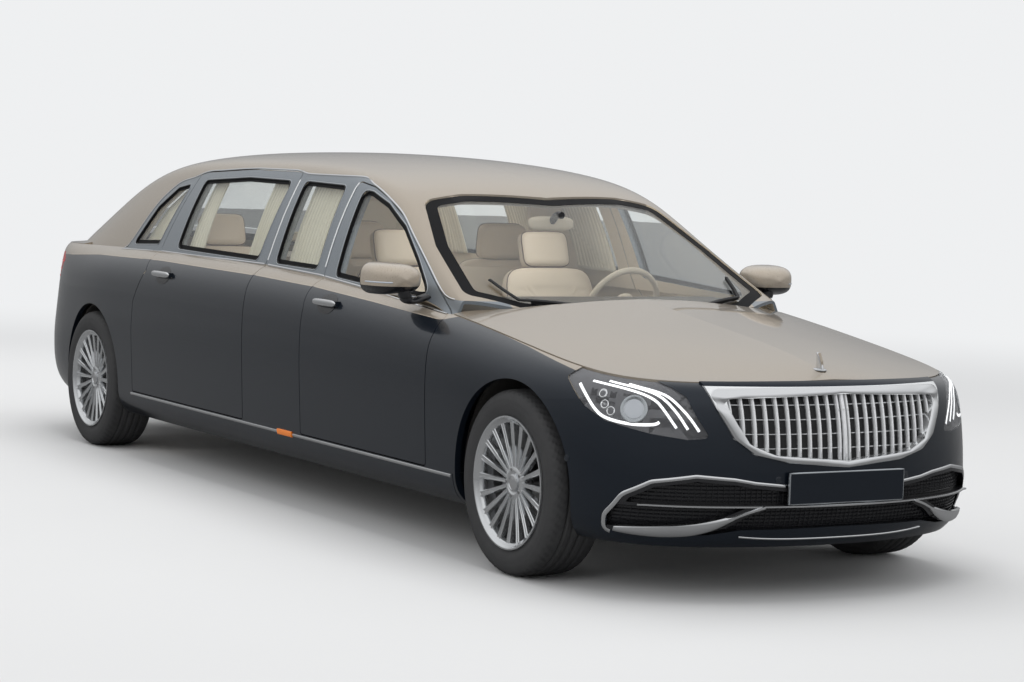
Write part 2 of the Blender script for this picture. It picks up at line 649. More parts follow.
def all_faces_inner(tree):
    """1 on faces that look towards the car's middle plane or down, which are its lining, else 0."""
    facing = node(tree, "ShaderNodeSeparateXYZ", {0: node(tree, "ShaderNodeNewGeometry").outputs["Normal"]})
    place = node(tree, "ShaderNodeSeparateXYZ", {0: node(tree, "ShaderNodeTexCoord").outputs["Object"]})
    side = math_node(tree, "SIGN", place.outputs[1])
    outward = math_node(tree, "MULTIPLY", facing.outputs[1], side)
    inward = math_node(tree, "LESS_THAN", outward, -0.35)
    down = math_node(tree, "LESS_THAN", facing.outputs[2], -0.35)
    high_up = math_node(tree, "GREATER_THAN", place.outputs[2], 0.95)
    return math_node(tree, "MAXIMUM", inward, math_node(tree, "MULTIPLY", down, high_up))


def lined_paint(name, upper, lower, frames=False, lining=(0.58, 0.49, 0.37)):
    """Two-tone paint outside, with satin metal round the side glass, and a plain lining inside."""
    if name in bpy.data.materials:
        return bpy.data.materials[name]
    material = body_paint(name, upper, lower, frames)
    tree = material.node_tree
    shader = tree.nodes["Principled BSDF"]
    inner = all_faces_inner(tree)
    outside = shader.inputs["Base Color"].links[0].from_socket
    tree.links.new(mixed(tree, inner, outside, (*lining, 1)), shader.inputs["Base Color"])
    rough = shader.inputs["Roughness"].links[0].from_socket
    tree.links.new(math_node(tree, "MAXIMUM", rough, math_node(tree, "MULTIPLY", inner, 0.65)),
                   shader.inputs["Roughness"])
    gloss = math_node(tree, "SUBTRACT", 1.0, inner)
    tree.links.new(gloss, shader.inputs["Coat Weight"])
    tree.links.new(math_node(tree, "MULTIPLY", gloss, 0.55), shader.inputs["Metallic"])
    return material


class LimousineColours(bpy.types.PropertyGroup):
    upper: bpy.props.FloatVectorProperty(name="Upper paint", description="Metallic paint above the coachline",
                                         default=(0.43, 0.37, 0.30), subtype="COLOR", min=0, max=1)
    lower: bpy.props.FloatVectorProperty(name="Lower paint", description="Metallic paint below the coachline",
                                         default=(0.010, 0.0155, 0.025), subtype="COLOR", min=0, max=1)
    floor: bpy.props.FloatVectorProperty(name="Floor", description="The studio's floor",
                                         default=(0.72, 0.72, 0.72), subtype="COLOR", min=0, max=1)


class LimousineSizes(bpy.types.PropertyGroup):
    groove: bpy.props.FloatProperty(name="Tread depth", description="Depth of the tyres' grooves",
                                    default=0.007, min=0.002, max=0.009, unit="LENGTH")
    spokes: bpy.props.IntProperty(name="Spokes", description="Spokes of each wheel", default=20, min=10, max=30)
    ring: bpy.props.FloatProperty(name="Window ring",
                                  description="Width of the bright ring round a side window",
                                  default=0.0054, min=0.004, max=0.02, unit="LENGTH")
    pleat: bpy.props.FloatProperty(name="Pleat", description="Width of one curtain pleat",
                                   default=0.030, min=0.01, max=0.06, unit="LENGTH")


def colours():
    return bpy.context.scene.limousine_colours


def sizes():
    return bpy.context.scene.limousine_sizes


def set_finish(material, *names):
    for name in names:
        mesh = nodes[name].data
        mesh.materials.clear()
        mesh.materials.append(material)


class LIMOUSINE_OT_stage(bpy.types.Operator):
    """Pale floor and surroundings, soft lamps and the camera"""
    bl_idname = "limousine.stage"
    bl_label = "Stage"

    def execute(self, context):
        scene = context.scene
        scene.view_settings.view_transform = "Standard"
        world = bpy.data.worlds.new("studio")
        scene.world = world
        world.use_nodes = True
        tree = world.node_tree
        back = tree.nodes["Background"]
        path = node(tree, "ShaderNodeLightPath")
        seen = math_node(tree, "MAXIMUM", path.outputs["Is Camera Ray"], path.outputs["Is Transmission Ray"])
        place = node(tree, "ShaderNodeTexCoord").outputs["Generated"]
        rise = node(tree, "ShaderNodeSeparateXYZ", {0: place}).outputs[2]
        dome = node(tree, "ShaderNodeMapRange", {"Value": rise, "From Min": 0.02, "From Max": 0.62,
                                                 "To Min": 0.32,
                                                 "To Max": 0.95}).outputs[0]
        shine = math_node(tree, "MULTIPLY", path.outputs["Is Glossy Ray"], dome)
        rest = math_node(tree, "MULTIPLY", math_node(tree, "SUBTRACT", 1.0, path.outputs["Is Glossy Ray"]),
                         0.85)
        strength = math_node(tree, "MAXIMUM", math_node(tree, "MAXIMUM", seen, shine), rest)
        tree.links.new(strength, back.inputs["Strength"])
        back.inputs["Color"].default_value = (0.86, 0.87, 0.88, 1)
        rings = np.linspace(0, 2 * np.pi, 96, endpoint=False)
        reach = np.array([0.5, 6.0, 14.0, 30.0, 60.0])
        grid = np.stack([reach[:, None] * np.cos(rings), reach[:, None] * np.sin(rings),
                         np.zeros((5, 96))], axis=-1)
        mesh = bpy.data.meshes.new("floor")
        faces = grid_faces(5, 96, wrap_columns=True).tolist() + [list(range(96))]
        mesh.from_pydata(grid.reshape(-1, 3).tolist(), [], faces)
        mesh.materials.append(finish_of("floor", tuple(colours().floor),
                                        tuple(c * 0.97 for c in colours().floor),
                                        rough=(0.45, 0.55), scale=0.5, grain=60))
        self.fade(mesh.materials[0])
        floor = bpy.data.objects.new("floor", mesh)
        scene.collection.objects.link(floor)
        lamps = (
            ("overhead", (0.3, 0.0, 5.2), (0.0, 0.0, 0.0), (8.0, 3.2), 170.0),
            ("front_right", (6.5, -6.5, 4.2), (1.0, -0.4, 0.6), (4.0, 2.5), 90.0),
            ("right_side", (-2.0, -7.5, 4.6), (-0.5, 0.0, 0.7), (6.0, 2.0), 80.0),
            ("left_side", (0.5, 7.5, 4.6), (0.0, 0.0, 0.7), (6.0, 2.0), 80.0),
            ("back", (-7.5, 0.0, 4.0), (-2.0, 0.0, 0.8), (4.0, 2.0), 60.0),
            ("front_cabin", (0.75, 0.0, 1.42), (0.75, 0.0, 0.0), (0.5, 0.9), 5.0),
            ("rear_cabin", (-0.85, 0.0, 1.45), (-0.85, 0.0, 0.0), (1.2, 0.9), 7.0),
        )
        for name, place, target, (wide, tall), power in lamps:
            lamp = bpy.data.lights.new(name, "AREA")
            lamp.shape, lamp.size, lamp.size_y, lamp.energy = "RECTANGLE", wide, tall, power
            made = bpy.data.objects.new(name, lamp)
            made.location = place
            made.rotation_euler = (Vector(target) - Vector(place)).to_track_quat("-Z", "X").to_euler()
            made.visible_glossy = False
            made.visible_camera = made.visible_transmission = False
            scene.collection.objects.link(made)
        camera = bpy.data.cameras.new("view")
        camera.sensor_width, camera.lens = 36.0, 88.1
        camera.clip_end = 200
        made = bpy.data.objects.new("view", camera)
        yaw, pitch, roll = 2.6123, -0.0717, 0.0319
        ahead = Vector((math.cos(pitch) * math.cos(yaw), math.cos(pitch) * math.sin(yaw), math.sin(pitch)))
        right = ahead.cross(Vector((0, 0, 1))).normalized()
        up = right.cross(ahead)
        across = right * math.cos(roll) + up * math.sin(roll)
        upward = up * math.cos(roll) - right * math.sin(roll)
        made.matrix_world = Matrix((
            (across.x, upward.x, -ahead.x, 10.5291), (across.y, upward.y, -ahead.y, -5.7096),
            (across.z, upward.z, -ahead.z, 1.5804), (0, 0, 0, 1)))
        scene.collection.objects.link(made)
        scene.camera = made
        return {"FINISHED"}

    def fade(self, material):
        """The floor fades to the pale surroundings far from the car: its colour gives way to a plain glow."""
        tree = material.node_tree
        shader = tree.nodes["Principled BSDF"]
        shader.inputs["Specular IOR Level"].default_value = 0.0
        place = node(tree, "ShaderNodeTexCoord").outputs["Object"]
        away = node(tree, "ShaderNodeVectorMath", {0: place}, operation="LENGTH").outputs["Value"]
        far = node(tree, "ShaderNodeMapRange", {"Value": away, "From Min": 3.0, "From Max": 14.0},
                   interpolation_type="SMOOTHSTEP").outputs[0]
        near = math_node(tree, "SUBTRACT", 1.0, far)
        own = shader.inputs["Base Color"].links[0].from_socket
        shine = node(tree, "ShaderNodeLightPath").outputs["Is Glossy Ray"]
        dimmed = math_node(tree, "SUBTRACT", 1.0, math_node(tree, "MULTIPLY", shine, 0.72))
        scaled = node(tree, "ShaderNodeVectorMath", {0: own, 3: math_node(tree, "MULTIPLY", near, dimmed)},
                      operation="SCALE").outputs[0]
        tree.links.new(scaled, shader.inputs["Base Color"])
        glow = node(tree, "ShaderNodeVectorMath", {0: (0.86, 0.87, 0.88),
                                                   3: math_node(tree, "MULTIPLY", far, dimmed)},
                    operation="SCALE").outputs[0]
        tree.links.new(glow, shader.inputs["Emission Color"])
        shader.inputs["Emission Strength"].default_value = 1.0


class LIMOUSINE_OT_finishes(bpy.types.Operator):
    """Paint, glass, metal and trim finishes on the frame's own pieces"""
    bl_idname = "limousine.finishes"
    bl_label = "Finishes"

    def execute(self, context):
        upper, lower = tuple(colours().upper), tuple(colours().lower)
        two_tone = lined_paint("two_tone_paint", upper, lower, frames=True)
        set_finish(two_tone, "door_front_right", "door_front_left", "door_rear_right", "door_rear_left",
                   "side_panel_right", "side_panel_left", "rear_quarter_right", "rear_quarter_left",
                   "front_wing_right", "front_wing_left", "roof_shell")
        set_finish(lined_paint("upper_paint", upper, upper, lining=(0.03, 0.03, 0.03)), "hood")
        set_finish(lined_paint("lower_paint", lower, lower, lining=(0.02, 0.02, 0.02)), "boot_lid", "sills",
                   "front_bumper", "rear_bumper")
        set_finish(F.pane, "glass_door_rear_right", "glass_door_rear_left", "fixed_side_glass", "rear_window")
        set_finish(F.screen, "glass_door_front_right", "glass_door_front_left", "windscreen")
        set_finish(F.clear, "headlamp_lenses")
        set_finish(F.lamp_bowl, "headlamps")
        set_finish(F.red, "tail_lamps")
        set_finish(F.grille_metal, "radiator_grille")
        set_finish(F.black, "intake_grilles")
        set_finish(F.under, "floor_pan", "bulkhead", "arch_liners", "front_subframe")
        set_finish(F.carpet, "boot_tub")
        set_finish(F.iron, "knuckle_right", "knuckle_left", "rear_axle")
        set_finish(F.engine, "engine")
        set_finish(F.steel, "exhaust")
        set_finish(F.dash, "dashboard")
        set_finish(F.leather, "partition", "front_seats", "facing_seats", "rear_seats")
        set_finish(F.cloth, "curtains", "curtains_door_right", "curtains_door_left")
        set_finish(F.leather, "steering_wheel")
        return {"FINISHED"}


def wheel_places():
    for corner in CORNERS:
        lowest, highest = low(f"tyre_{corner}"), high(f"tyre_{corner}")
        centre = (lowest + highest) / 2
        yield corner, centre, 1.0 if centre[1] > 0 else -1.0, (highest[2] - lowest[2]) / 2


def bumps(value, places, width):
    """A sum of smooth dips, one at each place, each that wide."""
    return sum(np.exp(-((value - place) / width) ** 4) for place in places)


class LIMOUSINE_OT_wheels(bpy.types.Operator):
    """Spoked wheels with caps and bolts, and tyres with grooved tread"""
    bl_idname = "limousine.wheels"
    bl_label = "Wheels"

    def execute(self, context):
        for corner, centre, sign, _ in wheel_places():
            self.tyre(corner, centre)
            self.rim(corner, centre, sign)
        return {"FINISHED"}

    def tyre(self, corner, centre):
        """A section turned about the axle; its radius dips in four grooves and in cross cuts."""
        section = np.array([
            (0.2415, -0.100), (0.258, -0.109), (0.270, -0.1150), (0.288, -0.1212), (0.306, -0.1225),
            (0.330, -0.1180),
            (0.347, -0.1080), (0.3545, -0.0930), (0.3575, -0.0700), (0.358, -0.0350), (0.358, 0.0),
            (0.358, 0.0350),
            (0.3575, 0.0700), (0.3545, 0.0930), (0.347, 0.1080), (0.330, 0.1180), (0.306, 0.1225),
            (0.288, 0.1212),
            (0.270, 0.1150), (0.258, 0.109), (0.2415, 0.100),
        ])
        line = evenly(rounded(section, 2), 84)
        inner = evenly(np.array([(0.2415, 0.100), (0.246, 0.05), (0.246, -0.05), (0.2415, -0.100)]), 12)[1:-1]
        profile = np.vstack([line, inner])
        count = 252
        turn = np.linspace(0, 2 * np.pi, count, endpoint=False)[:, None]
        r, y = profile[None, :, 0], profile[None, :, 1]
        tread = np.clip((r - 0.338) / 0.012, 0, 1)
        along_grooves = bumps(y, (-0.052, -0.018, 0.018, 0.052), 0.0048)
        skew = turn * 63 / 2 + y * 60
        cross = np.clip((np.cos(skew * 2) - 0.62) * 4, 0, 1) * np.clip((np.abs(y) - 0.058) / 0.01, 0, 1)
        cuts = np.clip((np.cos(skew * 2 + y * 100) - 0.80) * 4, 0, 1) * np.clip((0.05 - np.abs(y)) / 0.01, 0, 1)
        depth = sizes().groove * tread * np.clip(along_grooves + 0.75 * cross + 0.45 * cuts, 0, 1)
        ribs = 0.0009 * (bumps(r, (0.268, 0.3165, 0.3215), 0.0016)) * (r > 0.262)
        fine = 0.0004 * np.clip(np.cos(turn * 252 / 2), 0, 1) * bumps(r, (0.331,), 0.005)
        out = r - depth
        face = y + np.sign(y) * (ribs + fine) * (np.abs(y) > 0.1)
        grid = np.stack([centre[0] + out * np.cos(turn),
                         np.broadcast_to(centre[1] + face, (count, len(profile))),
                         centre[2] + out * np.sin(turn)], axis=-1)
        made = grids_piece(f"tyre_rubber_{corner}", [grid], f"wheel_{corner}", F.tread, wrap_rows=True,
                           wrap_columns=True, split_angle=60)
        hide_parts(f"tyre_{corner}")

    def rim(self, corner, centre, sign):
        """A turned barrel and hub, and spokes: a grooved section carried along a radius and turned round."""
        axis = (0, sign, 0)
        barrel = [(0.229, -0.108), (0.240, -0.117), (0.2565, -0.118), (0.2570, -0.110), (0.2430, -0.102),
                  (0.2405, -0.06),
                  (0.225, 0.0), (0.234, 0.05), (0.2405, 0.09), (0.2430, 0.102), (0.2570, 0.110),
                  (0.2560, 0.1175),
                  (0.250, 0.1180), (0.2440, 0.1130), (0.2400, 0.1080), (0.2330, 0.1050), (0.2290, 0.100),
                  (0.2270, 0.08),
                  (0.218, 0.0), (0.229, -0.06)]
        hub = [(0.031, 0.040), (0.070, 0.040), (0.074, 0.062), (0.070, 0.078), (0.060, 0.086), (0.046, 0.088),
               (0.040, 0.084),
               (0.031, 0.084)]
        cap = [(0.0005, 0.080), (0.030, 0.080), (0.0335, 0.086), (0.0325, 0.0905), (0.027, 0.0925),
               (0.0262, 0.0905),
               (0.014, 0.0925), (0.0005, 0.0935)]
        body = f"wheel_{corner}"
        turned = [turned_grid(barrel, centre, axis, 144), turned_grid(hub, centre, axis, 96)]
        made = grids_piece(f"wheel_barrel_{corner}", turned, body, F.alloy, wrap_rows=True, wrap_columns=True,
                           split_angle=35)
        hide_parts(f"rim_{corner}")
        disc = turned_grid(cap, centre, axis, 72)
        made = grids_piece(f"wheel_cap_{corner}", [disc], body, F.bright, wrap_rows=True, wrap_columns=True)
        count = sizes().spokes
        reach = np.linspace(0.058, 0.2325, 14)
        share = (reach - reach[0]) / (reach[-1] - reach[0])
        half = 0.0082 + 0.0042 * share ** 1.5
        front = 0.0862 + 0.004 * np.sin(np.pi * share) + 0.0185 * share ** 2.2
        section = np.array([(-1.0, -0.026), (-1.0, -0.004), (-0.80, -0.0003), (-0.48, 0.0), (-0.34, -0.0034),
                            (0.34, -0.0034),
                            (0.48, 0.0), (0.80, -0.0003), (1.0, -0.004), (1.0, -0.026)])
        across = half[:, None] * section[None, :, 0]
        depth = front[:, None] + section[None, :, 1] * (1 - 0.25 * share[:, None])
        grids = []
        for k in range(count):
            angle = 2 * np.pi * k / count
            out, side = np.array([np.cos(angle), 0, np.sin(angle)]), np.array([-np.sin(angle), 0,
                                                                               np.cos(angle)])
            grids.append(centre + reach[:, None, None] * out + across[..., None] * side
                         + depth[..., None] * np.array(axis, float))
        made = grids_piece(f"wheel_spokes_{corner}", grids, body, F.alloy, wrap_columns=True, cap_rows=True,
                           split_angle=30)
        bolts = []
        for k in range(5):
            angle = 2 * np.pi * (k + 0.5) / 5
            place = centre + 0.052 * np.array([np.cos(angle), 0, np.sin(angle)]) + 0.083 * np.array(axis)
            bolts.append(turned_grid([(0.0003, -0.004), (0.0075, -0.004), (0.0078, 0.004), (0.0055, 0.0065),
                                      (0.0003, 0.0065)],
                                     place, axis, 18))
        made = grids_piece(f"wheel_bolts_{corner}", bolts, body, F.iron, wrap_rows=True, wrap_columns=True)


def on_side(name, outline, sign, skin, body, width, height, finish, closed=False, lift=0.0,
            sink=0.002, count=None, shape=None):
    """A strip laid on the car's side along an outline of (x, z)."""
    count = count or max(12, int(len(outline) * 6))
    line = evenly(outline, count, closed)
    places, normals = skin.from_side(line, sign)
    normals = calm(normals, 3, closed)
    grid = ribbon_grid(places + normals * lift, normals, width, height, closed, sink, shape)
    made = grids_piece(name, [grid], body, finish, wrap_rows=closed, wrap_columns=True, cap_rows=not closed)
    return made


WINDOWS = (
    ("front_window", FRONT_WINDOW, "door_front", "front_door"),
    ("fixed_window", FIXED_WINDOW, "side_panel", None),
    ("rear_window", REAR_WINDOW, "door_rear", "rear_door"),
    ("quarter_window", QUARTER_WINDOW, "rear_quarter", None),
)


class LIMOUSINE_OT_windows(bpy.types.Operator):
    """Bright rings and rubber seals round the side windows, and the bright belt and drip mouldings"""
    bl_idname = "limousine.windows"
    bl_label = "Side windows"

    def execute(self, context):
        for side, sign in SIDES:
            for name, outline, holder, door in WINDOWS:
                body = f"{door}_{side}" if door else "car_body"
                names = [f"{holder}_{side}"] + (["roof_shell"] if not door else [])
                skin = Skin(*names)
                smooth = filleted(outline, 0.035 if holder != "rear_quarter" else 0.0175)
                on_side(f"{name}_ring_{side}", grown(smooth, 0.0050), sign, skin, body, sizes().ring, 0.0022,
                        F.frame_edge, closed=True, count=140)
                glass = Skin(f"glass_{holder}_{side}" if door else "fixed_side_glass")
                flat = ((-0.5, -0.4), (-0.5, 0.6), (0, 0.7), (0.5, 0.6), (0.5, -0.4))
                on_side(f"{name}_band_{side}", grown(evenly(smooth, 140, closed=True), -0.0095), sign, glass,
                        body, 0.019,
                        0.0009, F.band, closed=True, count=140, sink=0.0004, shape=flat)
                on_side(f"{name}_seal_{side}", grown(smooth, 0.0012), sign, skin, body, 0.0045, 0.0012,
                        F.seal, closed=True, count=140, sink=0.006)
            rear = Skin("roof_shell", f"rear_quarter_{side}")
            on_side(f"drip_moulding_{side}", clipped(DRIP, -1.90, 1.64, 200), sign, rear, "car_body", 0.008,
                    0.003,
                    F.bright, count=200)
            self.pillars(side, sign)
            stretches = (("quarter", -1.90, -1.483, "car_body", f"rear_quarter_{side}"),
                         ("rear_door", -1.466, -0.098, f"rear_door_{side}", f"door_rear_{side}"),
                         ("panel", -0.082, 0.524, "car_body", f"side_panel_{side}"),
                         ("front_door", 0.538, 1.66, f"front_door_{side}", f"door_front_{side}"))
            for name, start, end, body, holder in stretches:
                skin = Skin(holder)
                on_side(f"belt_moulding_{name}_{side}", clipped(BELT, start, end), sign, skin, body, 0.009,
                        0.0035,
                        F.bright, count=60)
                on_side(f"coachline_{name}_{side}", clipped(COACHLINE, start if start > -1.8 else -2.58, end),
                        sign,
                        skin, body, 0.004, 0.0008, F.upper_line, count=60)
        return {"FINISHED"}


    def pillars(self, side, sign):
        """Upright bright lines on the fixed panel, beside the doors' edges, which rays find."""
        panel = Skin(f"side_panel_{side}")
        for name, holder, start, step in (("front", f"door_front_{side}", 0.36, 0.002),
                                          ("rear", f"door_rear_{side}", 0.06, -0.002)):
            door = Skin(holder)
            line = []
            for z in np.linspace(1.085, 1.462, 16):
                for k in range(200):
                    x = start + k * step
                    place = door.tree.ray_cast(Vector((x, 1.3 * sign, z)), Vector((0, -sign, 0)))[0]
                    if place is not None and place.y * sign > 0:
                        line.append((x - 6.5 * step, z))
                        break
            on_side(f"pillar_line_{name}_{side}", np.array(line), sign, panel, "car_body", 0.009, 0.003,
                    F.pillar_line,
                    count=40)


class LIMOUSINE_OT_lamps(bpy.types.Operator):
    """Light guides, projectors and lenses in the headlamps, and the tail lamps' bright bars"""
    bl_idname = "limousine.lamps"
    bl_label = "Lamps"

    lower_guide = ((2.705, 0.827, 0.775), (2.750, 0.827, 0.738), (2.802, 0.817, 0.686), (2.844, 0.800, 0.659),
                   (2.930, 0.745, 0.643), (2.999, 0.682, 0.646), (3.008, 0.669, 0.657))
    brows = (
        ((2.749, 0.795, 0.789), (2.890, 0.725, 0.770), (2.976, 0.670, 0.741), (3.013, 0.650, 0.698),
         (3.050, 0.623, 0.638)),
        ((2.804, 0.756, 0.793), (2.929, 0.689, 0.773), (2.994, 0.646, 0.747), (3.044, 0.615, 0.690),
         (3.074, 0.590, 0.634)),
        ((2.872, 0.714, 0.788), (2.971, 0.655, 0.766), (3.015, 0.623, 0.744), (3.068, 0.583, 0.682),
         (3.096, 0.556, 0.628)),
    )

    def execute(self, context):
        for side, sign in SIDES:
            skin = Skin("headlamp_lenses")
            flip = np.array([1, sign, 1.0])

            def under_skin(points, depth):
                """Points moved to a depth under the lens, along the look direction from outside."""
                points = np.asarray(points, float) * flip
                inward = unit(np.array([-0.62, -0.78 * sign, 0.0]))
                places, normals = skin.hit(points - inward * 0.5, inward)
                normals = calm(normals, 2)
                return places - normals * depth, normals

            grids = []
            for line, thick in ((self.lower_guide, 0.011),) + tuple((brow, 0.0095) for brow in self.brows):
                path, normals = under_skin(evenly(rounded(line, 3), 40), 0.0050)
                grids.append(ribbon_grid(path, normals, thick, 0.0018, sink=0.003))
            made = grids_piece(f"light_guides_{side}", grids, "car_body", F.lit, wrap_columns=True,
                               cap_rows=True)
            centre, normals = under_skin([(2.932, 0.731, 0.699)], 0.0058)
            facing = normals[0]
            housing = turned_grid([(0.0005, -0.004), (0.050, -0.004), (0.052, 0.0002), (0.049, 0.0022),
                                   (0.044, 0.0022),
                                   (0.041, 0.0004), (0.0005, 0.0002)], centre[0], facing, 72)
            made = grids_piece(f"projector_ring_{side}", [housing], "car_body", F.satin, wrap_rows=True,
                               wrap_columns=True)
            bulge = np.linspace(0, np.pi / 2, 14)
            dome = [(max(0.0005, 0.037 * np.sin(a)), 0.0025 * np.cos(a)) for a in bulge] + [(0.037, -0.003),
                                                                                            (0.0005, -0.003)]
            made = grids_piece(f"projector_lens_{side}", [turned_grid(dome, centre[0], facing, 72)], "car_body",
                               F.projector, wrap_rows=True, wrap_columns=True)
            small = []
            for place in ((2.813, 0.791, 0.748), (2.833, 0.795, 0.709), (2.860, 0.785, 0.686)):
                middle, lean = under_skin([place], 0.0060)
                small.append(turned_grid([(0.0005, -0.004), (0.017, -0.004), (0.018, 0.0006), (0.015, 0.0022),
                                          (0.011, 0.0004),
                                          (0.0005, 0.0012)], middle[0], lean[0], 40))
            made = grids_piece(f"lamp_modules_{side}", small, "car_body", F.bright, wrap_rows=True,
                               wrap_columns=True)
            self.tail(side, sign)
        return {"FINISHED"}

    def tail(self, side, sign):
        """Three pale bars laid over the red lamp."""
        lowest, highest = low("tail_lamps"), high("tail_lamps")
        skin = Skin("tail_lamps")
        grids = []
        for share in (0.30, 0.52, 0.74):
            z = lowest[2] + (highest[2] - lowest[2]) * share
            y = np.linspace(0.60, 0.86, 30) * sign
            origins = np.stack([np.full(30, -3.6), y, np.full(30, z)], axis=1)
            found = [skin.tree.ray_cast(Vector(o), Vector((1, 0, 0))) for o in origins]
            kept = [(f[0], f[1]) for f in found if f[0] is not None and f[0].x < -2.6]
            if len(kept) < 8:
                continue
            places, normals = np.array([k[0] for k in kept]), np.array([k[1] for k in kept])
            normals *= np.where(normals[:, :1] > 0, -1, 1)
            grids.append(ribbon_grid(places, calm(normals, 3), 0.008, 0.0015))
        if not grids:
            raise RuntimeError("the tail lamp's bars find no lamp")
        made = grids_piece(f"tail_lamp_bars_{side}", grids, "car_body", F.red_bright, wrap_columns=True,
                           cap_rows=True)


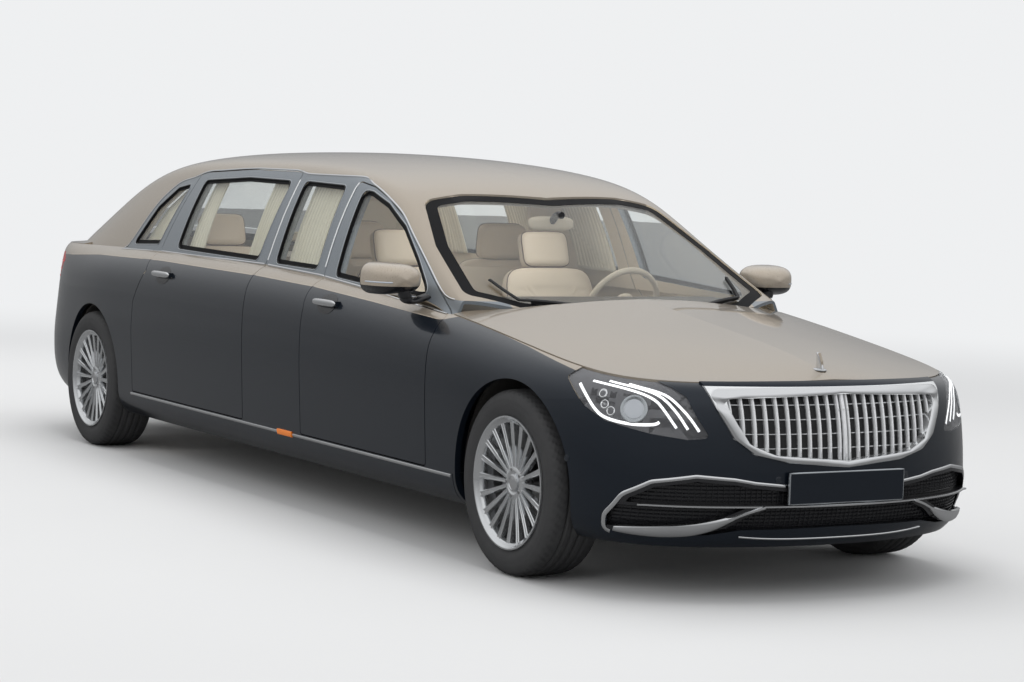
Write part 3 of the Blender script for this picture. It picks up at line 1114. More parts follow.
class LIMOUSINE_OT_nose(bpy.types.Operator):
    """Grille surround, vanes and screen, the intakes' trims and mesh, hood stand, blank plate and sensors"""
    bl_idname = "limousine.nose"
    bl_label = "Nose"

    def execute(self, context):
        self.meshes()
        self.surround()
        self.intake_trims()
        self.bars()
        self.fin()
        self.plate()
        self.sensors()
        return {"FINISHED"}

    def both(self, half):
        """A closed outline of (y, z) from its right half, which starts and ends on the middle plane."""
        half = np.asarray(half, float)
        return np.vstack([half, half[-2:0:-1] * (-1, 1)])

    def surround(self):
        """The grille's bright surround: each section swells from the outer outline to the opening's edge."""
        outer = self.both([(0, 0.787), (-0.30, 0.786), (-0.505, 0.781), (-0.5290, 0.757), (-0.5127, 0.706),
                           (-0.4577, 0.601),
                           (-0.3845, 0.5457), (-0.2545, 0.5157), (0, 0.4965)])
        inner = self.both([(0, 0.7629), (-0.28, 0.7534), (-0.4776, 0.7458), (-0.4719, 0.7116),
                           (-0.4444, 0.6548),
                           (-0.4226, 0.618), (-0.4026, 0.5842), (-0.3057, 0.5446), (0, 0.5211)])
        count = 240
        outer, inner = filleted(outer, 0.05, 8), filleted(inner, 0.03, 8)
        angles = np.linspace(-np.pi, np.pi, count, endpoint=False)
        rims = []
        for outline in (outer, inner):
            dense = evenly(outline, 2400, closed=True)
            turn = np.arctan2(dense[:, 1] - GRILLE_MIDDLE, dense[:, 0] * 0.35)
            order = np.argsort(turn)
            rims.append(np.stack([np.interp(angles, turn[order], dense[order, k]) for k in (0, 1)], axis=1))
        skin = Skin("radiator_grille", "front_bumper")
        share = np.linspace(0, 1, 9)
        rows = []
        _, outer_normals = skin.from_front(grown(rims[0], -0.004))
        normals = calm(outer_normals, 30, True)
        nose = np.array([self.nose_x(skin, y, z) for y, z in np.vstack([rims[0], rims[1]])])
        deep = [nose[:count], nose[count:]]
        for k in (0, 1):
            for _ in range(12):
                deep[k] = (np.roll(deep[k], 1) + 2 * deep[k] + np.roll(deep[k], -1)) / 4
        for part in share:
            flat = rims[0] * (1 - part) + rims[1] * part
            x = deep[0] * (1 - part) + deep[1] * part
            rows.append(np.stack([x, flat[:, 0], flat[:, 1]], axis=1)
                        + normals * (0.0065 * np.sqrt(np.clip(1 - (2 * part - 1) ** 2, 0, 1)) + 0.0005))
        back = [rows[-1] - (0.016, 0, 0), rows[0] - (0.016, 0, 0)]
        grid = np.stack(rows + back, axis=1)
        made = grids_piece("grille_surround", [grid], "car_body", F.bright, wrap_rows=True, wrap_columns=True)

    def nose_x(self, skin, y, z):
        """The ring's outer face at a place, from the nearest point towards its middle that meets it."""
        for pull in (1.0, 0.99, 1.012, 0.975, 1.03, 0.96, 1.05):
            hit = skin.tree.ray_cast(Vector((AHEAD, y * pull, GRILLE_MIDDLE + (z - GRILLE_MIDDLE) * pull)),
                                     Vector((-1, 0, 0)))
            if hit[0] is not None and hit[0].x > self.depth_of(y) - 0.16:
                return hit[0].x
        return self.depth_of(y) - 0.05

    def lay(self, skin, line, widths, height):
        """A strip of changing width on the nose: an arched section carried along a line of (y, z)."""
        line = np.asarray(line, float)
        places, normals = skin.from_front(line)
        x = places[:, 0]
        for _ in range(10):
            x = np.convolve(np.concatenate([x[:1], x, x[-1:]]), [0.25, 0.5, 0.25], "valid")
        places = np.stack([np.maximum(x, places[:, 0]), line[:, 0], line[:, 1]], axis=1)
        normals = calm(normals, 12)
        side = unit(np.cross(along(places), normals))
        section = np.array([(-0.5, -0.4), (-0.5, 0.5), (-0.34, 0.88), (0, 1), (0.34, 0.88), (0.5, 0.5),
                            (0.5, -0.4)])
        wide = np.broadcast_to(np.asarray(widths, float), (len(line),))
        return places[:, None] + side[:, None] * (wide[:, None] * section[None, :, 0])[..., None] \
            + normals[:, None] * (height * section[None, :, 1])[..., None]

    def intake_trims(self):
        """The lower intakes' bright edges, their broad blades, the middle line and the lip's line."""
        skin = Skin("front_bumper", "intake_grilles")
        grids = []
        half = np.array(INTAKE_OUTLINE)
        edge = grown(evenly(filleted(half, 0.030, 6), 500, closed=True), 0.006)
        upper_start = int(np.argmin(np.hypot(edge[:, 0] - 0.262, edge[:, 1] - 0.432)))
        edge = np.roll(edge, -upper_start, axis=0)
        if edge[20, 0] < edge[0, 0]:
            edge = np.roll(edge[::-1], 1, axis=0)
        rim = edge[:int(np.argmin(np.hypot(edge[:, 0] - 0.800, edge[:, 1] - 0.240)))]
        for sign in (-1, 1):
            line = evenly(rim, 120) * (sign, 1)
            grids.append(self.lay(Skin("front_bumper"), line, np.linspace(0.011, 0.017, 120), 0.005))
            blade = evenly(rounded([(0.806, 0.2625), (0.785, 0.2600), (0.7026, 0.2600), (0.610, 0.2670),
                                    (0.540, 0.2830),
                                    (0.470, 0.3105), (0.410, 0.3370), (0.345, 0.3560)], 3), 80) * (sign, 1)
            share = np.linspace(0, 1, 80)
            wide = 0.012 + 0.034 * np.sin(np.pi * np.clip(share * 1.25 + 0.05, 0, 1)) ** 0.7
            grids.append(self.lay(skin, blade, np.maximum(wide, 0.012), 0.011))
        y = np.linspace(-0.765, 0.765, 160)
        grids.append(self.lay(skin, np.stack([y, np.full(160, 0.3575)], axis=1), 0.0085, 0.006))
        made = grids_piece("intake_trims", grids, "car_body", F.bright, wrap_columns=True, cap_rows=True)
        y = np.linspace(-0.42, 0.42, 90)
        lip = self.lay(Skin("front_bumper"), np.stack([y, 0.232 + 0.012 * (y / 0.42) ** 4], axis=1), 0.007,
                       0.004)
        made = grids_piece("lip_line", [lip], "car_body", F.bright, wrap_columns=True, cap_rows=True)

    def bars(self):
        """A dark screen behind the grille's vanes, which follows the nose's plan."""
        skin = Skin("radiator_grille", "front_bumper")
        opening = self.both([(0, 0.765), (-0.479, 0.748), (-0.474, 0.7116), (-0.4464, 0.6548),
                             (-0.4046, 0.5842),
                             (-0.3077, 0.5426), (0, 0.519)])
        levels = np.linspace(0.5205, 0.7625, 40)
        edge = opening[opening[:, 0] <= 0.001]
        edge = edge[np.argsort(edge[:, 1])]
        half = np.interp(levels, edge[:, 1], -edge[:, 0])
        middle = np.array([self.front_at(skin, z) for z in levels])
        plan = self.plan_at(np.abs(np.linspace(0, 0.48, 60)))
        grid = np.zeros((len(levels), 120, 3))
        for row, (z, reach, x) in enumerate(zip(levels, half, middle)):
            across = np.linspace(-reach, reach, 120)
            grid[row] = np.stack([x - np.interp(np.abs(across), np.linspace(0, 0.48, 60), plan) - 0.0245,
                                  across,
                                  np.full(120, z)], axis=1)
        back = grid[::-1] - (0.002, 0, 0)
        made = grids_piece("grille_screen", [np.concatenate([grid, back])], "car_body", F.matt_black,
                           wrap_rows=True,
                           cap_rows=False, outward=True)
        self.vanes()

    def vanes(self):
        """A bright sleeve over each vane and the middle rib: a U section along the vane's front edge.

        The front edge comes from rays at the vane's middle, fitted by a parabola over the height."""
        ring = Skin("radiator_grille")
        low_y, low_z = (0, 0.3057, 0.4026, 0.4444, 0.4719, 0.4776), (0.5211, 0.5446, 0.5842, 0.6548, 0.7116,
                                                                     0.7458)
        count = 22
        places = [0.4776 * (k + 0.5) / (count / 2) * sign for sign in (-1, 1) for k in range(count // 2)]
        grids = []
        for y, wide, ahead in [(y, 0.0080, 0.0014) for y in places] + [(0.0, 0.0130, 0.0016)]:
            foot, head = np.interp(abs(y), low_y, low_z) + 0.001, np.interp(abs(y), (0, 0.4776),
                                                                            (0.7629, 0.7458)) - 0.001
            levels = np.linspace(foot, head, 40)
            met = [ring.tree.ray_cast(Vector((AHEAD, y, z)), Vector((-1, 0, 0)))[0] for z in levels]
            kept = [(z, hit.x) for k, (z, hit) in enumerate(zip(levels, met)) if hit is not None and 5 < k < 35]
            bend = np.polyfit(*np.array(kept).T, 2)
            rows = np.linspace(foot, head, 14)
            front = np.polyval(bend, rows) + ahead
            section = np.array([(-0.5, -0.0140), (-0.5, -0.0030), (-0.30, -0.0004), (0, 0.0), (0.30, -0.0004),
                                (0.5, -0.0030),
                                (0.5, -0.0140)])
            grids.append(np.stack([front[:, None] + section[None, :, 1],
                                   y + wide * section[None, :, 0] + 0 * front[:, None],
                                   np.broadcast_to(rows[:, None], (14, 7))], axis=-1))
        made = grids_piece("grille_vanes", grids, "car_body", F.vane, wrap_columns=True, cap_rows=True,
                           split_angle=50)

    def front_at(self, skin, z):
        """The middle rib's front at a height."""
        hit = skin.tree.ray_cast(Vector((AHEAD, 0.0, z)), Vector((-1, 0, 0)))
        return hit[0].x if hit[0] is not None else 3.2

    def plan_at(self, widths):
        """How far the grille's ring falls back from the middle, at some widths, along its upper edge."""
        skin = Skin("radiator_grille")
        x = np.array([skin.tree.ray_cast(Vector((AHEAD, -w, 0.785)), Vector((-1, 0, 0)))[0].x for w in widths])
        return x[0] - x

    def fin(self):
        """A bright sleeve over the hood's fin: its outline grown a little, with rounded edges."""
        mesh = nodes["hood"].data
        where = np.empty(len(mesh.vertices) * 3)
        mesh.vertices.foreach_get("co", where)
        where = where.reshape(-1, 3)
        centre = 3.0545
        near = where[(np.abs(where[:, 1]) < 0.0095) & (np.abs(where[:, 0] - centre) < 0.03)]
        top = near[:, 2].max()
        base = top - 0.062
        height = np.linspace(-0.004, 0.0632, 12)
        share = np.clip(height / 0.062, 0, 1)
        front = centre + 0.0186 - 0.026 * share ** 1.1 + 0.0012
        rear = centre - 0.0186 - 0.0012 - 0.003 * share
        front = np.where(height > 0.054, front - (height - 0.054) * 1.4, front)
        turn = np.linspace(0, 2 * np.pi, 32, endpoint=False)
        thick = 0.0064 * (1 - 0.10 * share)
        grid = np.stack([
            ((front + rear) / 2)[:, None] + ((front - rear) / 2)[:, None] * signed_power(np.cos(turn),
                                                                                         0.5)[None],
            thick[:, None] * signed_power(np.sin(turn), 0.5)[None],
            np.broadcast_to((base + height)[:, None], (12, 32)),
        ], axis=-1)
        foot = turned_grid([(0.0005, 0.0), (0.026, 0.0), (0.0255, 0.003), (0.021, 0.005), (0.0005, 0.006)],
                           (centre - 0.002, 0, base - 0.001), (0.12, 0, 1), 48)
        made = grids_piece("hood_fin", [grid], "hood_lid", F.bright, wrap_columns=True, cap_rows=True)
        made = grids_piece("hood_fin_foot", [foot], "hood_lid", F.bright, wrap_rows=True, wrap_columns=True)

    def meshes(self):
        """Wires: thin bars at even steps along two directions, laid just over the intake's backing."""
        skin = Skin("intake_grilles")
        outline_low, outline_high = 0.240, 0.446
        grids = []
        for z in np.arange(outline_low, outline_high, 0.0135):
            y = np.linspace(-0.80, 0.80, 161)
            grids += self.wires(skin, np.stack([y, np.full(161, z)], axis=1), 0.0022)
        for y in np.arange(-0.80, 0.801, 0.020):
            z = np.linspace(outline_low, outline_high, 32)
            grids += self.wires(skin, np.stack([np.full(32, y), z], axis=1), 0.0018)
        made = grids_piece("intake_mesh", grids, "car_body", F.black, wrap_columns=True, cap_rows=True)

    def wires(self, skin, line, radius):
        """The stretches of a line where the backing lies behind the skin, each a thin square bar."""
        found = [skin.tree.ray_cast(Vector((AHEAD, y, z)), Vector((-1, 0, 0))) for y, z in line]
        grids, run = [], []
        for hit in found + [(None, None, None, None)]:
            if hit[0] is not None and self.backing(hit[0]):
                run.append(np.array(hit[0]))
            else:
                if len(run) > 3:
                    grids.append(tube_grid(np.array(run) + (0.004, 0, 0), radius, 4))
                run = []
        return grids

    def backing(self, place):
        """True on the backing panel, which lies deeper than the bright rims and blades."""
        return self.depth_of(place.y) - place.x > 0.014

    def depth_of(self, y):
        """The nose's foremost place at a width, from the bumper's plan."""
        if not hasattr(self, "plan"):
            skin = Skin("front_bumper", "intake_grilles")
            widths = np.linspace(-0.86, 0.86, 87)
            type(self).plan_widths = widths
            reach = []
            for width in widths:
                tops = [skin.tree.ray_cast(Vector((AHEAD, width, z)), Vector((-1, 0, 0)))
                        for z in (0.235, 0.30, 0.36, 0.45, 0.47)]
                reach.append(max(hit[0].x for hit in tops if hit[0] is not None))
            type(self).plan = np.array(reach)
        return np.interp(y, self.plan_widths, self.plan)

    def plate(self):
        """A frame round the blank plate: a low section carried round its edge."""
        lowest = np.array([3.2495, -0.260, 0.3687])
        outline = np.array([(-0.260, 0.369), (0.260, 0.369), (0.260, 0.479), (-0.260, 0.479)])
        line = evenly(outline, 80, closed=True)
        path = np.stack([np.full(80, lowest[0] - 0.0052), line[:, 0], line[:, 1]], axis=1)
        normals = np.tile([1.0, 0, 0], (80, 1))
        grid = ribbon_grid(path, normals, 0.010, 0.005, closed=True, sink=0.003)
        made = grids_piece("plate_frame", [grid], "car_body", F.frame_edge, wrap_rows=True, wrap_columns=True)
        y, z = np.meshgrid(np.linspace(-0.2535, 0.2535, 40), np.linspace(0.3755, 0.4725, 12), indexing="ij")
        front = np.stack([np.full_like(y, lowest[0] - 0.0004), y, z], axis=-1)
        back = front[:, ::-1] - (0.003, 0, 0)
        sheet_grid = np.concatenate([front, back], axis=1)
        made = grids_piece("plate_face", [sheet_grid], "car_body", F.plate, wrap_columns=True, cap_rows=True)

    def sensors(self):
        """Small round covers sunk in the bumper: a turned profile with a shallow rim."""
        skin = Skin("front_bumper")
        grids = []
        for sign in (-1, 1):
            for y, z, direction in ((0.294, 0.455, (-1, 0, 0)), (0.865, 0.497, None)):
                if direction:
                    places, normals = skin.from_front([(y * sign, z)])
                else:
                    places, normals = skin.from_side([(2.725, z)], sign)
                grids.append(turned_grid([(0.0005, -0.003), (0.0125, -0.003), (0.0128, 0.0012),
                                          (0.0105, 0.0018), (0.0098, 0.0008),
                                          (0.0005, 0.0012)], places[0], normals[0], 32))
        made = grids_piece("parking_sensors", grids, "car_body", F.sensor, wrap_rows=True, wrap_columns=True)


class LIMOUSINE_OT_trims(bpy.types.Operator):
    """Sill mouldings, side markers, door handle covers and pull recesses"""
    bl_idname = "limousine.trims"
    bl_label = "Side trims"

    def execute(self, context):
        for side, sign in SIDES:
            on_side(f"sill_moulding_{side}", np.stack([np.linspace(-1.49, 1.92, 80), np.full(80, 0.332)],
                                                      axis=1), sign,
                    Skin("sills"), "car_body", 0.013, 0.004, F.bright, count=80)
            on_side(f"side_marker_{side}", np.array([(0.30, 0.3335), (0.45, 0.3335)]), sign, Skin("sills"),
                    "car_body",
                    0.026, 0.007, F.amber, count=20)
            for door, x, z in ((f"front_door_{side}", 0.7455, 0.942), (f"rear_door_{side}", -1.0995, 0.964)):
                self.handle(door, side, sign, x, z)
        return {"FINISHED"}

    def handle(self, door, side, sign, x, z):
        """A grip round the handle's bar, an oval section that thins to its ends, over a dark oval dish."""
        holder = "door_front_" + side if door.startswith("front") else "door_rear_" + side
        skin = Skin(holder)
        place, _ = skin.from_side([(x, z)], sign)
        share = np.linspace(-1, 1, 36)
        path = np.stack([x + share * 0.1115, np.full(36, place[0, 1] - 0.0075 * sign), np.full(36, z)], axis=1)
        size_along = np.clip(1 - np.abs(share) ** 7, 0.02, 1) ** 0.5 * (1 - 0.12 * share ** 2)
        turn = np.linspace(0, 2 * np.pi, 28, endpoint=False)
        grid = path[:, None] + np.stack([
            np.zeros((36, 28)), size_along[:, None] * 0.0105 * signed_power(np.cos(turn), 0.8)[None],
            size_along[:, None] * 0.0155 * signed_power(np.sin(turn), 0.8)[None]], axis=-1)
        made = grids_piece(f"handle_grip_{door}", [grid], door, F.bright, wrap_columns=True, cap_rows=True)
        rows = np.linspace(-1, 1, 14)[:, None]
        tall = np.sqrt(np.clip(1 - share ** 2, 0.0004, 1))[None]
        level = z - 0.006 + 0.044 * rows * tall
        around = np.array([-0.095, -0.070, -0.045, -0.025, 0.025, 0.042, 0.058])
        met = np.array([skin.from_side(np.stack([x + share * 0.085, np.full(36, z + rise)], axis=1),
                                       sign)[0][:, 1]
                        for rise in around])
        bends = np.polyfit(around, met, 3)
        above = level - z
        y = bends[0] * above ** 3 + bends[1] * above ** 2 + bends[2] * above + bends[3] + 0.0014 * sign
        face = np.stack([np.broadcast_to((x + share * 0.085)[None], level.shape), y, level], axis=-1)
        back = face[::-1] - (0, 0.002 * sign, 0)
        made = grids_piece(f"handle_dish_{door}", [np.concatenate([face, back])], door, F.black, wrap_rows=True)


class LIMOUSINE_OT_mirrors(bpy.types.Operator):
    """Door mirrors: a painted cap over a dark shell with its glass, indicator and foot"""
    bl_idname = "limousine.mirrors"
    bl_label = "Door mirrors"

    def execute(self, context):
        for side, sign in SIDES:
            lowest, highest = low(f"mirror_{side}"), high(f"mirror_{side}")
            x0, x1 = lowest[0] - 0.058, highest[0] + 0.006
            y_out = max(abs(lowest[1]), abs(highest[1])) - 0.0005
            z1 = highest[2] + 0.002
            middle = np.array([0, (y_out - 0.114) * sign, z1 - 0.069])
            share = 1 - np.cos(np.linspace(0, np.pi / 2, 36))
            turn = np.linspace(0, 2 * np.pi, 72, endpoint=False)
            x = x0 + (x1 - x0) * share[::-1]
            scale = np.clip(1 - ((x - x0) / (x1 - x0)) ** 3.4, 0, 1) ** 0.46
            wide = 0.1135 * signed_power(np.cos(turn), 0.66)
            tall = 0.0665 * signed_power(np.sin(turn), 0.70) * (1 + 0.10 * np.cos(turn))
            grid = np.stack([
                np.broadcast_to(x[:, None], (36, 72)),
                middle[1] + sign * (scale[:, None] * wide[None] - 0.012 * ((x - x0) / (x1 - x0))[:, None]),
                middle[2] + np.minimum(scale[:, None] * tall[None], 0.0665),
            ], axis=-1)
            lip = grid[-1] + (grid[-1] - middle * (0, 1, 1) - (x0, 0, 0)) * (0, -0.05, -0.07) + (0.003, 0, 0)
            inner = grid[-1] * (1, 0, 0) + (grid[-1] * (0, 1, 1) - middle) * 0.90 + middle + (0.012, 0, 0)
            grid = np.concatenate([grid, lip[None], inner[None]])
            body = f"front_door_{side}"
            shell = grids_piece(f"mirror_shell_{side}", [grid], body, F.mirror_cap, wrap_columns=True,
                                cap_rows=True,
                                split_angle=50)
            shell.data.materials.append(F.black)
            centres = np.empty(len(shell.data.polygons) * 3)
            shell.data.polygons.foreach_get("center", centres)
            centres = centres.reshape(-1, 3)
            dark = centres[:, 0] < x0 + 0.004
            shell.data.polygons.foreach_set("material_index", dark.astype(int))
            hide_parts(f"mirror_{side}")
            glass = np.stack([np.full((8, 72), x0 + 0.007) + 0 * turn[None],
                              middle[1] + sign * np.linspace(0.001, 0.9, 8)[:, None] * wide[None],
                              middle[2] + np.linspace(0.001, 0.88, 8)[:, None] * tall[None]], axis=-1)
            back = glass[::-1] + (0.003, 0, 0)
            made = grids_piece(f"mirror_glass_{side}", [np.concatenate([glass, back])], body, F.mirror_glass,
                               wrap_rows=True,
                               wrap_columns=True)
            band_x = x0 + (x1 - x0) * np.linspace(0.25, 0.93, 24)
            band_scale = np.clip(1 - ((band_x - x0) / (x1 - x0)) ** 3.4, 0, 1) ** 0.46
            sine = np.clip(0.012 / (band_scale * 0.0725), 0, 0.95) ** (1 / 0.70)
            path = np.stack([band_x, middle[1] + sign * (band_scale * 0.1135 * (1 - sine ** 2) ** 0.33
                                                         - 0.012 * (band_x - x0) / (x1 - x0)),
                             np.full(24, middle[2] - 0.012)], axis=1)
            made = grids_piece(f"mirror_indicator_{side}", [tube_grid(path, 0.0030, 10)], body, F.lamp_glass,
                               wrap_columns=True, cap_rows=True)
            door = Skin(f"door_front_{side}")
            root, _ = door.from_side([(1.455, 1.012)], sign)
            start = np.array([1.447, (y_out - 0.150) * sign, lowest[2] + 0.050])
            path = rounded(np.array([start + (0, 0, 0.02), start,
                                     start * (1, 1, 0) + (0, -0.02 * sign, lowest[2] + 0.016),
                                     root[0] + (0, 0.004 * -sign, 0.002)]), 3)
            oval = np.linspace(0.026, 0.030, len(path))
            tube = tube_grid(path, oval, 24)
            squeezed = path[:, None] + (tube - path[:, None]) * (1.15, 1.0, 0.42)
            made = grids_piece(f"mirror_foot_{side}", [squeezed], body, F.black, wrap_columns=True,
                               cap_rows=True)
        return {"FINISHED"}


def islands(name):
    """The loose parts of a node's mesh, as arrays of their points."""
    mesh = nodes[name].data
    where = np.empty(len(mesh.vertices) * 3)
    mesh.vertices.foreach_get("co", where)
    where = where.reshape(-1, 3)
    _, merged = np.unique(np.round(where, 5), axis=0, return_inverse=True)
    merged = merged.reshape(-1)
    mesh.calc_loop_triangles()
    corners = np.empty(len(mesh.loop_triangles) * 3, int)
    mesh.loop_triangles.foreach_get("vertices", corners)
    corners = merged[corners].reshape(-1, 3)
    label = np.arange(merged.max() + 1)
    while True:
        least = label[corners].min(axis=1)
        fresh = label.copy()
        np.minimum.at(fresh, corners.ravel(), np.repeat(least, 3))
        fresh = fresh[fresh]
        if np.array_equal(fresh, label):
            break
        label = fresh
    of_point = label[merged]
    return [where[of_point == value] for value in np.unique(of_point)]


class LIMOUSINE_OT_curtains(bpy.types.Operator):
    """Gathered curtains at the rear cabin's windows"""
    bl_idname = "limousine.curtains"
    bl_label = "Curtains"

    def execute(self, context):
        for node_name, body in (("curtains", "car_body"), ("curtains_door_right", "rear_door_right"),
                                ("curtains_door_left", "rear_door_left")):
            parts = sorted(islands(node_name), key=lambda part: (round(part[:, 1].mean(), 1),
                                                                 part[:, 0].mean()))
            for number, part in enumerate(parts, start=1):
                self.curtain(node_name, body, number, part)
        return {"FINISHED"}

    def curtain(self, node_name, body, number, part):
        """Rows across by columns down the slab; the depth sways with the width, fuller at the foot."""
        sign = 1.0 if part[:, 1].mean() > 0 else -1.0
        top, foot = part[:, 2].max() - 0.004, part[:, 2].min() + 0.004
        height = top - foot
        z = np.linspace(foot, top, 28)
        skin = Skin(node_name)
        edges = []
        for level in z:
            near = part[np.abs(part[:, 2] - level) < height * 0.12]
            span = near if len(near) > 1 else part
            edges.append((span[:, 0].min(), span[:, 0].max()))
        edges = np.array(edges)
        xs = np.linspace(part[:, 0].min() - 0.02, part[:, 0].max() + 0.02, 160)
        columns = int(max(60, (part[:, 0].max() - part[:, 0].min()) / sizes().pleat * 9))
        grid, folds = np.zeros((columns, len(z), 3)), np.zeros((columns, len(z)))
        for row, level in enumerate(z):
            hits = [skin.tree.ray_cast(Vector((x, 1.3 * sign, level)), Vector((0, -sign, 0))) for x in xs]
            good = [(x, h[0].y) for x, h in zip(xs, hits) if h[0] is not None and h[0].y * sign > 0
                    and part[:, 0].min() - 0.01 < x < part[:, 0].max() + 0.01]
            if len(good) < 2:
                good = edges_good if row else [(part[:, 0].min(), part[:, 1].mean()),
                                               (part[:, 0].max(), part[:, 1].mean())]
            edges_good = good
            gx, gy = np.array(good).T
            share = np.linspace(0, 1, columns)
            x = gx[0] + (gx[-1] - gx[0]) * share
            rise = (level - foot) / height
            count = max(4, round((part[:, 0].max() - part[:, 0].min()) / sizes().pleat))
            wave = np.sin(2 * np.pi * count * share + 0.5 * np.sin(6 * share + 2 * rise))
            swell = 0.0055 + 0.0050 * (1 - rise) + 0.0015 * np.sin(9 * share + 4 * rise)
            folds[:, row] = 0.5 + 0.5 * np.cos(np.pi * (0.5 + 0.5 * wave))
            grid[:, row, 0] = x + 0.0015 * np.sin(4 * np.pi * count * share)
            grid[:, row, 1] = np.interp(x, gx, gy) - sign * (0.012 + swell * (1 + wave))
            grid[:, row, 2] = level
        label = node_name.replace("curtains", "cabin").replace("cabin_door", "door")
        made = grids_piece(f"curtain_{label}_{number}", [grid], body, F.pleats, split_angle=None, outward=False)
        fold = made.data.attributes.new("fold", "FLOAT", "POINT")
        fold.data.foreach_set("value", folds.ravel().astype(np.float32))
        across = np.linalg.norm(np.diff(grid, axis=0), axis=-1).sum(axis=0)
        down = np.linalg.norm(np.diff(grid, axis=1), axis=-1).sum(axis=1)
        solid = made.modifiers.new("thickness", "SOLIDIFY")
        solid.thickness = 0.0012
        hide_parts(node_name)


class LIMOUSINE_OT_seats(bpy.types.Operator):
    """Padded seats with sewn channels, piping, headrests and plinths"""
    bl_idname = "limousine.seats"
    bl_label = "Seats"

    def execute(self, context):
        rows = (("front_seats", 0.4905, 1, 0.390, 0.190, "front_seat"),
                ("facing_seats", -0.0445, -1, 0.390, 0.076, "facing_seat"),
                ("rear_seats", -1.6205, 1, 0.3354, 0.190, "rear_seat"))
        for node_name, x, toward, offset, lean, name in rows:
            for side, sign in SIDES:
                self.seat(node_name, f"{name}_{side}", x, toward, offset * sign, lean)
        return {"FINISHED"}

    def pillow(self, name, centre, along_axis, up_axis, half, fill, channels=0, finish=None, node_name=None,
               crown=0.12):
        """A closed crowned form: a rounded box with swelling faces and sewn channels.

        Latitude and longitude set a direction; each part of it is raised to a low power, which squares the ball
        off, and the face's channels are narrow dips in its height."""
        up_axis = unit(np.asarray(up_axis, float))
        along_axis = unit(np.asarray(along_axis, float))
        side_axis = np.cross(up_axis, along_axis)
        lat = np.linspace(-np.pi / 2 + 0.02, np.pi / 2 - 0.02, 40)[:, None]
        lon = np.linspace(0, 2 * np.pi, 96, endpoint=False)[None]
        u = signed_power(np.cos(lat), 0.42) * signed_power(np.cos(lon), 0.34)
        v = signed_power(np.cos(lat), 0.42) * signed_power(np.sin(lon), 0.34)
        w = signed_power(np.sin(lat), 0.55) * np.ones_like(lon)
        swell = 1 + crown * (1 - u ** 2) * (1 - v ** 2)
        face = np.clip(w, 0, 1)
        dips = np.zeros_like(u)
        if channels:
            for k in range(1, channels + 1):
                place = -0.78 + 1.56 * k / (channels + 1)
                dips += np.exp(-((u - place) / 0.022) ** 2)
        height = w * swell * half[2] - 0.007 * dips * face * (1 - np.clip((np.abs(v) - 0.72) / 0.12, 0, 1))
        points = np.asarray(centre) + (u * half[0])[..., None] * along_axis \
            + (v * half[1])[..., None] * side_axis \
            + np.clip(height, -half[2], half[2])[..., None] * up_axis
        made = grids_piece(name, [points], "car_body", finish or F.leather, wrap_columns=True, cap_rows=True,
                           split_angle=75)
        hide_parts(node_name)
        rim = np.linspace(0, 2 * np.pi, 72, endpoint=False)
        edge = np.asarray(centre) + (0.985 * half[0] * signed_power(np.cos(rim), 0.34))[:, None] * along_axis \
            + (0.985 * half[1] * signed_power(np.sin(rim),
                                              0.34))[:, None] * side_axis + 0.45 * half[2] * up_axis
        piping = grids_piece(f"{name}_piping", [tube_grid(edge, 0.0035, 8, closed=True)], "car_body",
                             F.brown_leather,
                             wrap_rows=True, wrap_columns=True)
        return made

    def seat(self, node_name, name, x, toward, y, lean):
        floor, top, length = 0.2723, 0.572, 0.530
        cushion_middle = (x + toward * (0.11 + length) / 2 + toward * 0.02, y, top - 0.062)
        self.pillow(f"{name}_cushion", cushion_middle, (toward, 0, 0.07), (-0.07 * toward, 0, 1),
                    (0.205, 0.245, 0.052), 0.8,
                    5, None, node_name, 0.10)
        rise = np.array([-toward * lean * 0.93, 0, 0.560])
        slope = unit(rise)
        normal = unit(np.array([slope[2] * toward, 0, -slope[0] * toward]))
        foot = np.array([x + toward * 0.064, y, top - 0.02])
        middle = foot + slope * 0.285
        self.pillow(f"{name}_back", middle, slope, normal, (0.268, 0.240, 0.050), 0.8, 6, None, node_name, 0.10)
        rest = foot + slope * 0.640
        self.pillow(f"{name}_headrest", rest + normal * 0.006, slope, normal, (0.086, 0.126, 0.040), 0.9, 0,
                    None, node_name, 0.12)
        stalks = []
        for shift in (-0.055, 0.055):
            a = foot + slope * 0.52 + (0, shift, 0)
            b = rest - slope * 0.04 + (0, shift, 0)
            stalks.append(tube_grid(np.linspace(a, b, 6), 0.006, 12))
        posts = grids_piece(f"{name}_posts", stalks, "car_body", F.satin, wrap_columns=True, cap_rows=True)
        self.shell(f"{name}_base", x, toward, y, floor)

    def shell(self, name, x, toward, y, floor):
        """A plinth: a rounded-square section scaled up a flared height profile."""
        turn = np.linspace(0, 2 * np.pi, 64, endpoint=False)
        rise = np.array([0.0, 0.012, 0.03, 0.10, 0.145, 0.165, 0.178])
        grow = np.array([0.80, 0.86, 0.84, 0.83, 0.93, 0.985, 0.975])
        grid = np.stack([
            x + toward * 0.292 + grow[:, None] * 0.225 * signed_power(np.cos(turn), 0.35)[None],
            y + grow[:, None] * 0.238 * signed_power(np.sin(turn), 0.35)[None],
            np.broadcast_to((floor + 0.001 + rise)[:, None], (7, 64)),
        ], axis=-1)
        made = grids_piece(name, [grid], "car_body", F.dark_leather, wrap_columns=True, cap_rows=True)


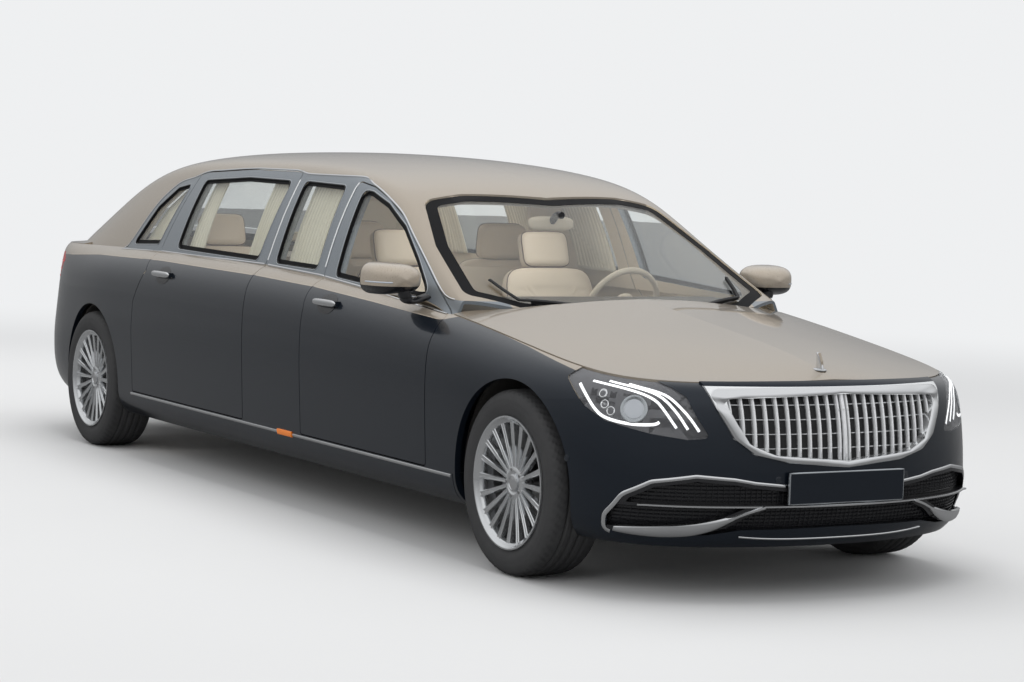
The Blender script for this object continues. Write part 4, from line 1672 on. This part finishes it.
class LIMOUSINE_OT_cabin(bpy.types.Operator):
    """Dashboard cover, screens and steering wheel, and the inner mirror's pod"""
    bl_idname = "limousine.cabin"
    bl_label = "Cabin"

    def execute(self, context):
        self.steering()
        self.pod()
        self.wipers()
        return {"FINISHED"}

    def steering(self):
        """A ring: a circle section turned on a tilted circle, with three flat spokes and a rounded hub."""
        centre = np.array([1.0695, 0.390, 0.950])
        tilt = math.radians(25)
        axis = np.array([-math.cos(tilt), 0, math.sin(tilt)])
        across = np.array([0.0, -1.0, 0.0])
        up = np.cross(axis, across)
        up = up if up[2] > 0 else -up
        turn = np.linspace(0, 2 * np.pi, 120, endpoint=False)
        ring = centre + 0.176 * (np.cos(turn)[:, None] * across + np.sin(turn)[:, None] * up)
        grip = 0.0138 + 0.0010 * np.cos(4 * turn)
        rim = grids_piece("steering_rim", [tube_grid(ring, grip, 20, closed=True)], "steering", F.leather,
                          wrap_rows=True,
                          wrap_columns=True)
        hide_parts("steering_wheel")
        hub = turned_grid([(0.0006, 0.014), (0.030, 0.0135), (0.050, 0.008), (0.062, -0.004), (0.064, -0.020),
                           (0.055, -0.040),
                           (0.030, -0.058), (0.0006, -0.058)], centre, axis, 64)
        made = grids_piece("steering_pad", [hub], "steering", F.leather, wrap_rows=True, wrap_columns=True)
        spokes = []
        for angle in (0.0, math.pi, -math.pi / 2):
            out = math.cos(angle) * across + math.sin(angle) * up
            side = np.cross(axis, out)
            reach = np.linspace(0.045, 0.170, 8)
            half = np.linspace(0.026, 0.013, 8)
            section = np.array([(-1, -0.004), (-0.8, 0.004), (0.8, 0.004), (1, -0.004), (0.8, -0.010),
                                (-0.8, -0.010)])
            spokes.append(centre + reach[:, None, None] * out
                          + (half[:, None] * section[None, :, 0])[..., None] * side
                          + np.broadcast_to(section[None, :, 1], (8, 6))[..., None] * axis)
        made = grids_piece("steering_spokes", spokes, "steering", F.satin, wrap_columns=True, cap_rows=True)

    def pod(self):
        """The mirror behind the windscreen: a rounded oval body on a tapering foot."""
        screen = Skin("windscreen")
        top, _ = screen.from_front([(0.0, 1.345)])
        centre = top[0] + (-0.10, 0, -0.035)
        lat = np.linspace(-np.pi / 2 + 0.03, np.pi / 2 - 0.03, 20)[:, None]
        lon = np.linspace(0, 2 * np.pi, 48, endpoint=False)[None]
        grid = centre + np.stack([0.018 * signed_power(np.sin(lat), 0.7) * np.ones_like(lon),
                                  0.115 * signed_power(np.cos(lat), 0.6) * signed_power(np.cos(lon), 0.6),
                                  0.032 * signed_power(np.cos(lat), 0.6) * signed_power(np.sin(lon), 0.6)],
                                  axis=-1)
        made = grids_piece("inner_mirror", [grid], "car_body", F.leather, wrap_columns=True, cap_rows=True)
        path = np.array([top[0] + (-0.008, 0, 0.004), top[0] + (-0.05, 0, 0.006), centre + (0.01, 0, 0.01)])
        made = grids_piece("inner_mirror_foot", [tube_grid(rounded(path, 2), 0.016, 16)], "car_body", F.black,
                           wrap_columns=True,
                           cap_rows=True)

    def wipers(self):
        """Two arms along the windscreen's foot, and the dark band printed round its edge."""
        skin = Skin("windscreen")
        opening = np.array(SCREEN_OPENING)
        foot = opening[:5]
        whole = np.vstack([foot, foot[::-1] * (1, -1)])
        order = np.argsort(whole[:, 1])
        for number, (start, end) in enumerate(((-0.60, -0.03), (0.03, 0.60)), start=1):
            y = np.linspace(start, end, 24)
            x = np.interp(y, whole[order, 1], whole[order, 0]) - np.linspace(0.050, 0.075, 24)
            places, normals = skin.from_above(np.stack([x, y], axis=1))
            normals = calm(normals, 12)
            lift = 0.012 + 0.008 * np.sin(np.linspace(0, np.pi, 24))
            arm = ribbon_grid(places + normals * lift[:, None], normals, 0.014, 0.004, sink=0.003)
            blade = ribbon_grid(places[4:] + normals[4:] * 0.0085, normals[4:], 0.009, 0.006, sink=0.0065)
            made = grids_piece(f"wiper_{number}", [arm, blade], "car_body", F.matt_black, wrap_columns=True,
                               cap_rows=True)
        outline = filleted(np.vstack([opening, opening[-2:0:-1] * (1, -1)]), 0.09, 8)
        outline = evenly(grown(evenly(outline, 240, closed=True), -0.027), 240, closed=True)
        places, normals = skin.from_above(outline)
        normals = calm(normals, 6, True)
        flat = ((-0.5, -0.4), (-0.5, 0.6), (0, 0.7), (0.5, 0.6), (0.5, -0.4))
        grid = ribbon_grid(places, normals, 0.052, 0.0014, closed=True, sink=0.0006, shape=flat)
        made = grids_piece("windscreen_band", [grid], "car_body", F.band, wrap_rows=True, wrap_columns=True)


class LIMOUSINE_OT_tail(bpy.types.Operator):
    """The bright moulding across the boot lid"""
    bl_idname = "limousine.tail"
    bl_label = "Tail"

    def execute(self, context):
        skin = Skin("boot_lid")
        lowest, highest = low("boot_lid"), high("boot_lid")
        y = np.linspace(-0.60, 0.60, 61)
        z = np.full(61, lowest[2] + 0.22 * (highest[2] - lowest[2]))
        places, normals = skin.from_back(np.stack([y, z], axis=1))
        grid = ribbon_grid(places, calm(normals, 6), 0.016, 0.005)
        made = grids_piece("boot_moulding", [grid], "boot_lid_body", F.bright, wrap_columns=True, cap_rows=True)
        return {"FINISHED"}


class LIMOUSINE_PT_panel(bpy.types.Panel):
    """Lists the limousine's pieces and their settings"""
    bl_idname = "LIMOUSINE_PT_panel"
    bl_label = "Limousine"
    bl_space_type = "VIEW_3D"
    bl_region_type = "UI"
    bl_category = "Limousine"

    def draw(self, context):
        column = self.layout.column()
        for name in ("upper", "lower", "floor"):
            column.prop(context.scene.limousine_colours, name)
        for name in ("groove", "spokes", "ring", "pleat"):
            column.prop(context.scene.limousine_sizes, name)
        for step in STEPS:
            column.operator(step.bl_idname)


STEPS = (LIMOUSINE_OT_stage, LIMOUSINE_OT_finishes, LIMOUSINE_OT_wheels, LIMOUSINE_OT_windows,
         LIMOUSINE_OT_lamps,
         LIMOUSINE_OT_nose, LIMOUSINE_OT_trims, LIMOUSINE_OT_mirrors, LIMOUSINE_OT_curtains, LIMOUSINE_OT_seats,
         LIMOUSINE_OT_cabin, LIMOUSINE_OT_tail)
CLASSES = (LimousineColours, LimousineSizes) + STEPS + (LIMOUSINE_PT_panel,)


def register():
    for item in CLASSES:
        bpy.utils.register_class(item)
    bpy.types.Scene.limousine_colours = bpy.props.PointerProperty(type=LimousineColours)
    bpy.types.Scene.limousine_sizes = bpy.props.PointerProperty(type=LimousineSizes)


def unregister():
    del bpy.types.Scene.limousine_sizes
    del bpy.types.Scene.limousine_colours
    for item in reversed(CLASSES):
        bpy.utils.unregister_class(item)


def main():
    register()
    for step in STEPS:
        getattr(bpy.ops.limousine, step.bl_idname.split(".")[1])()


if __name__ == "__main__":
    main()
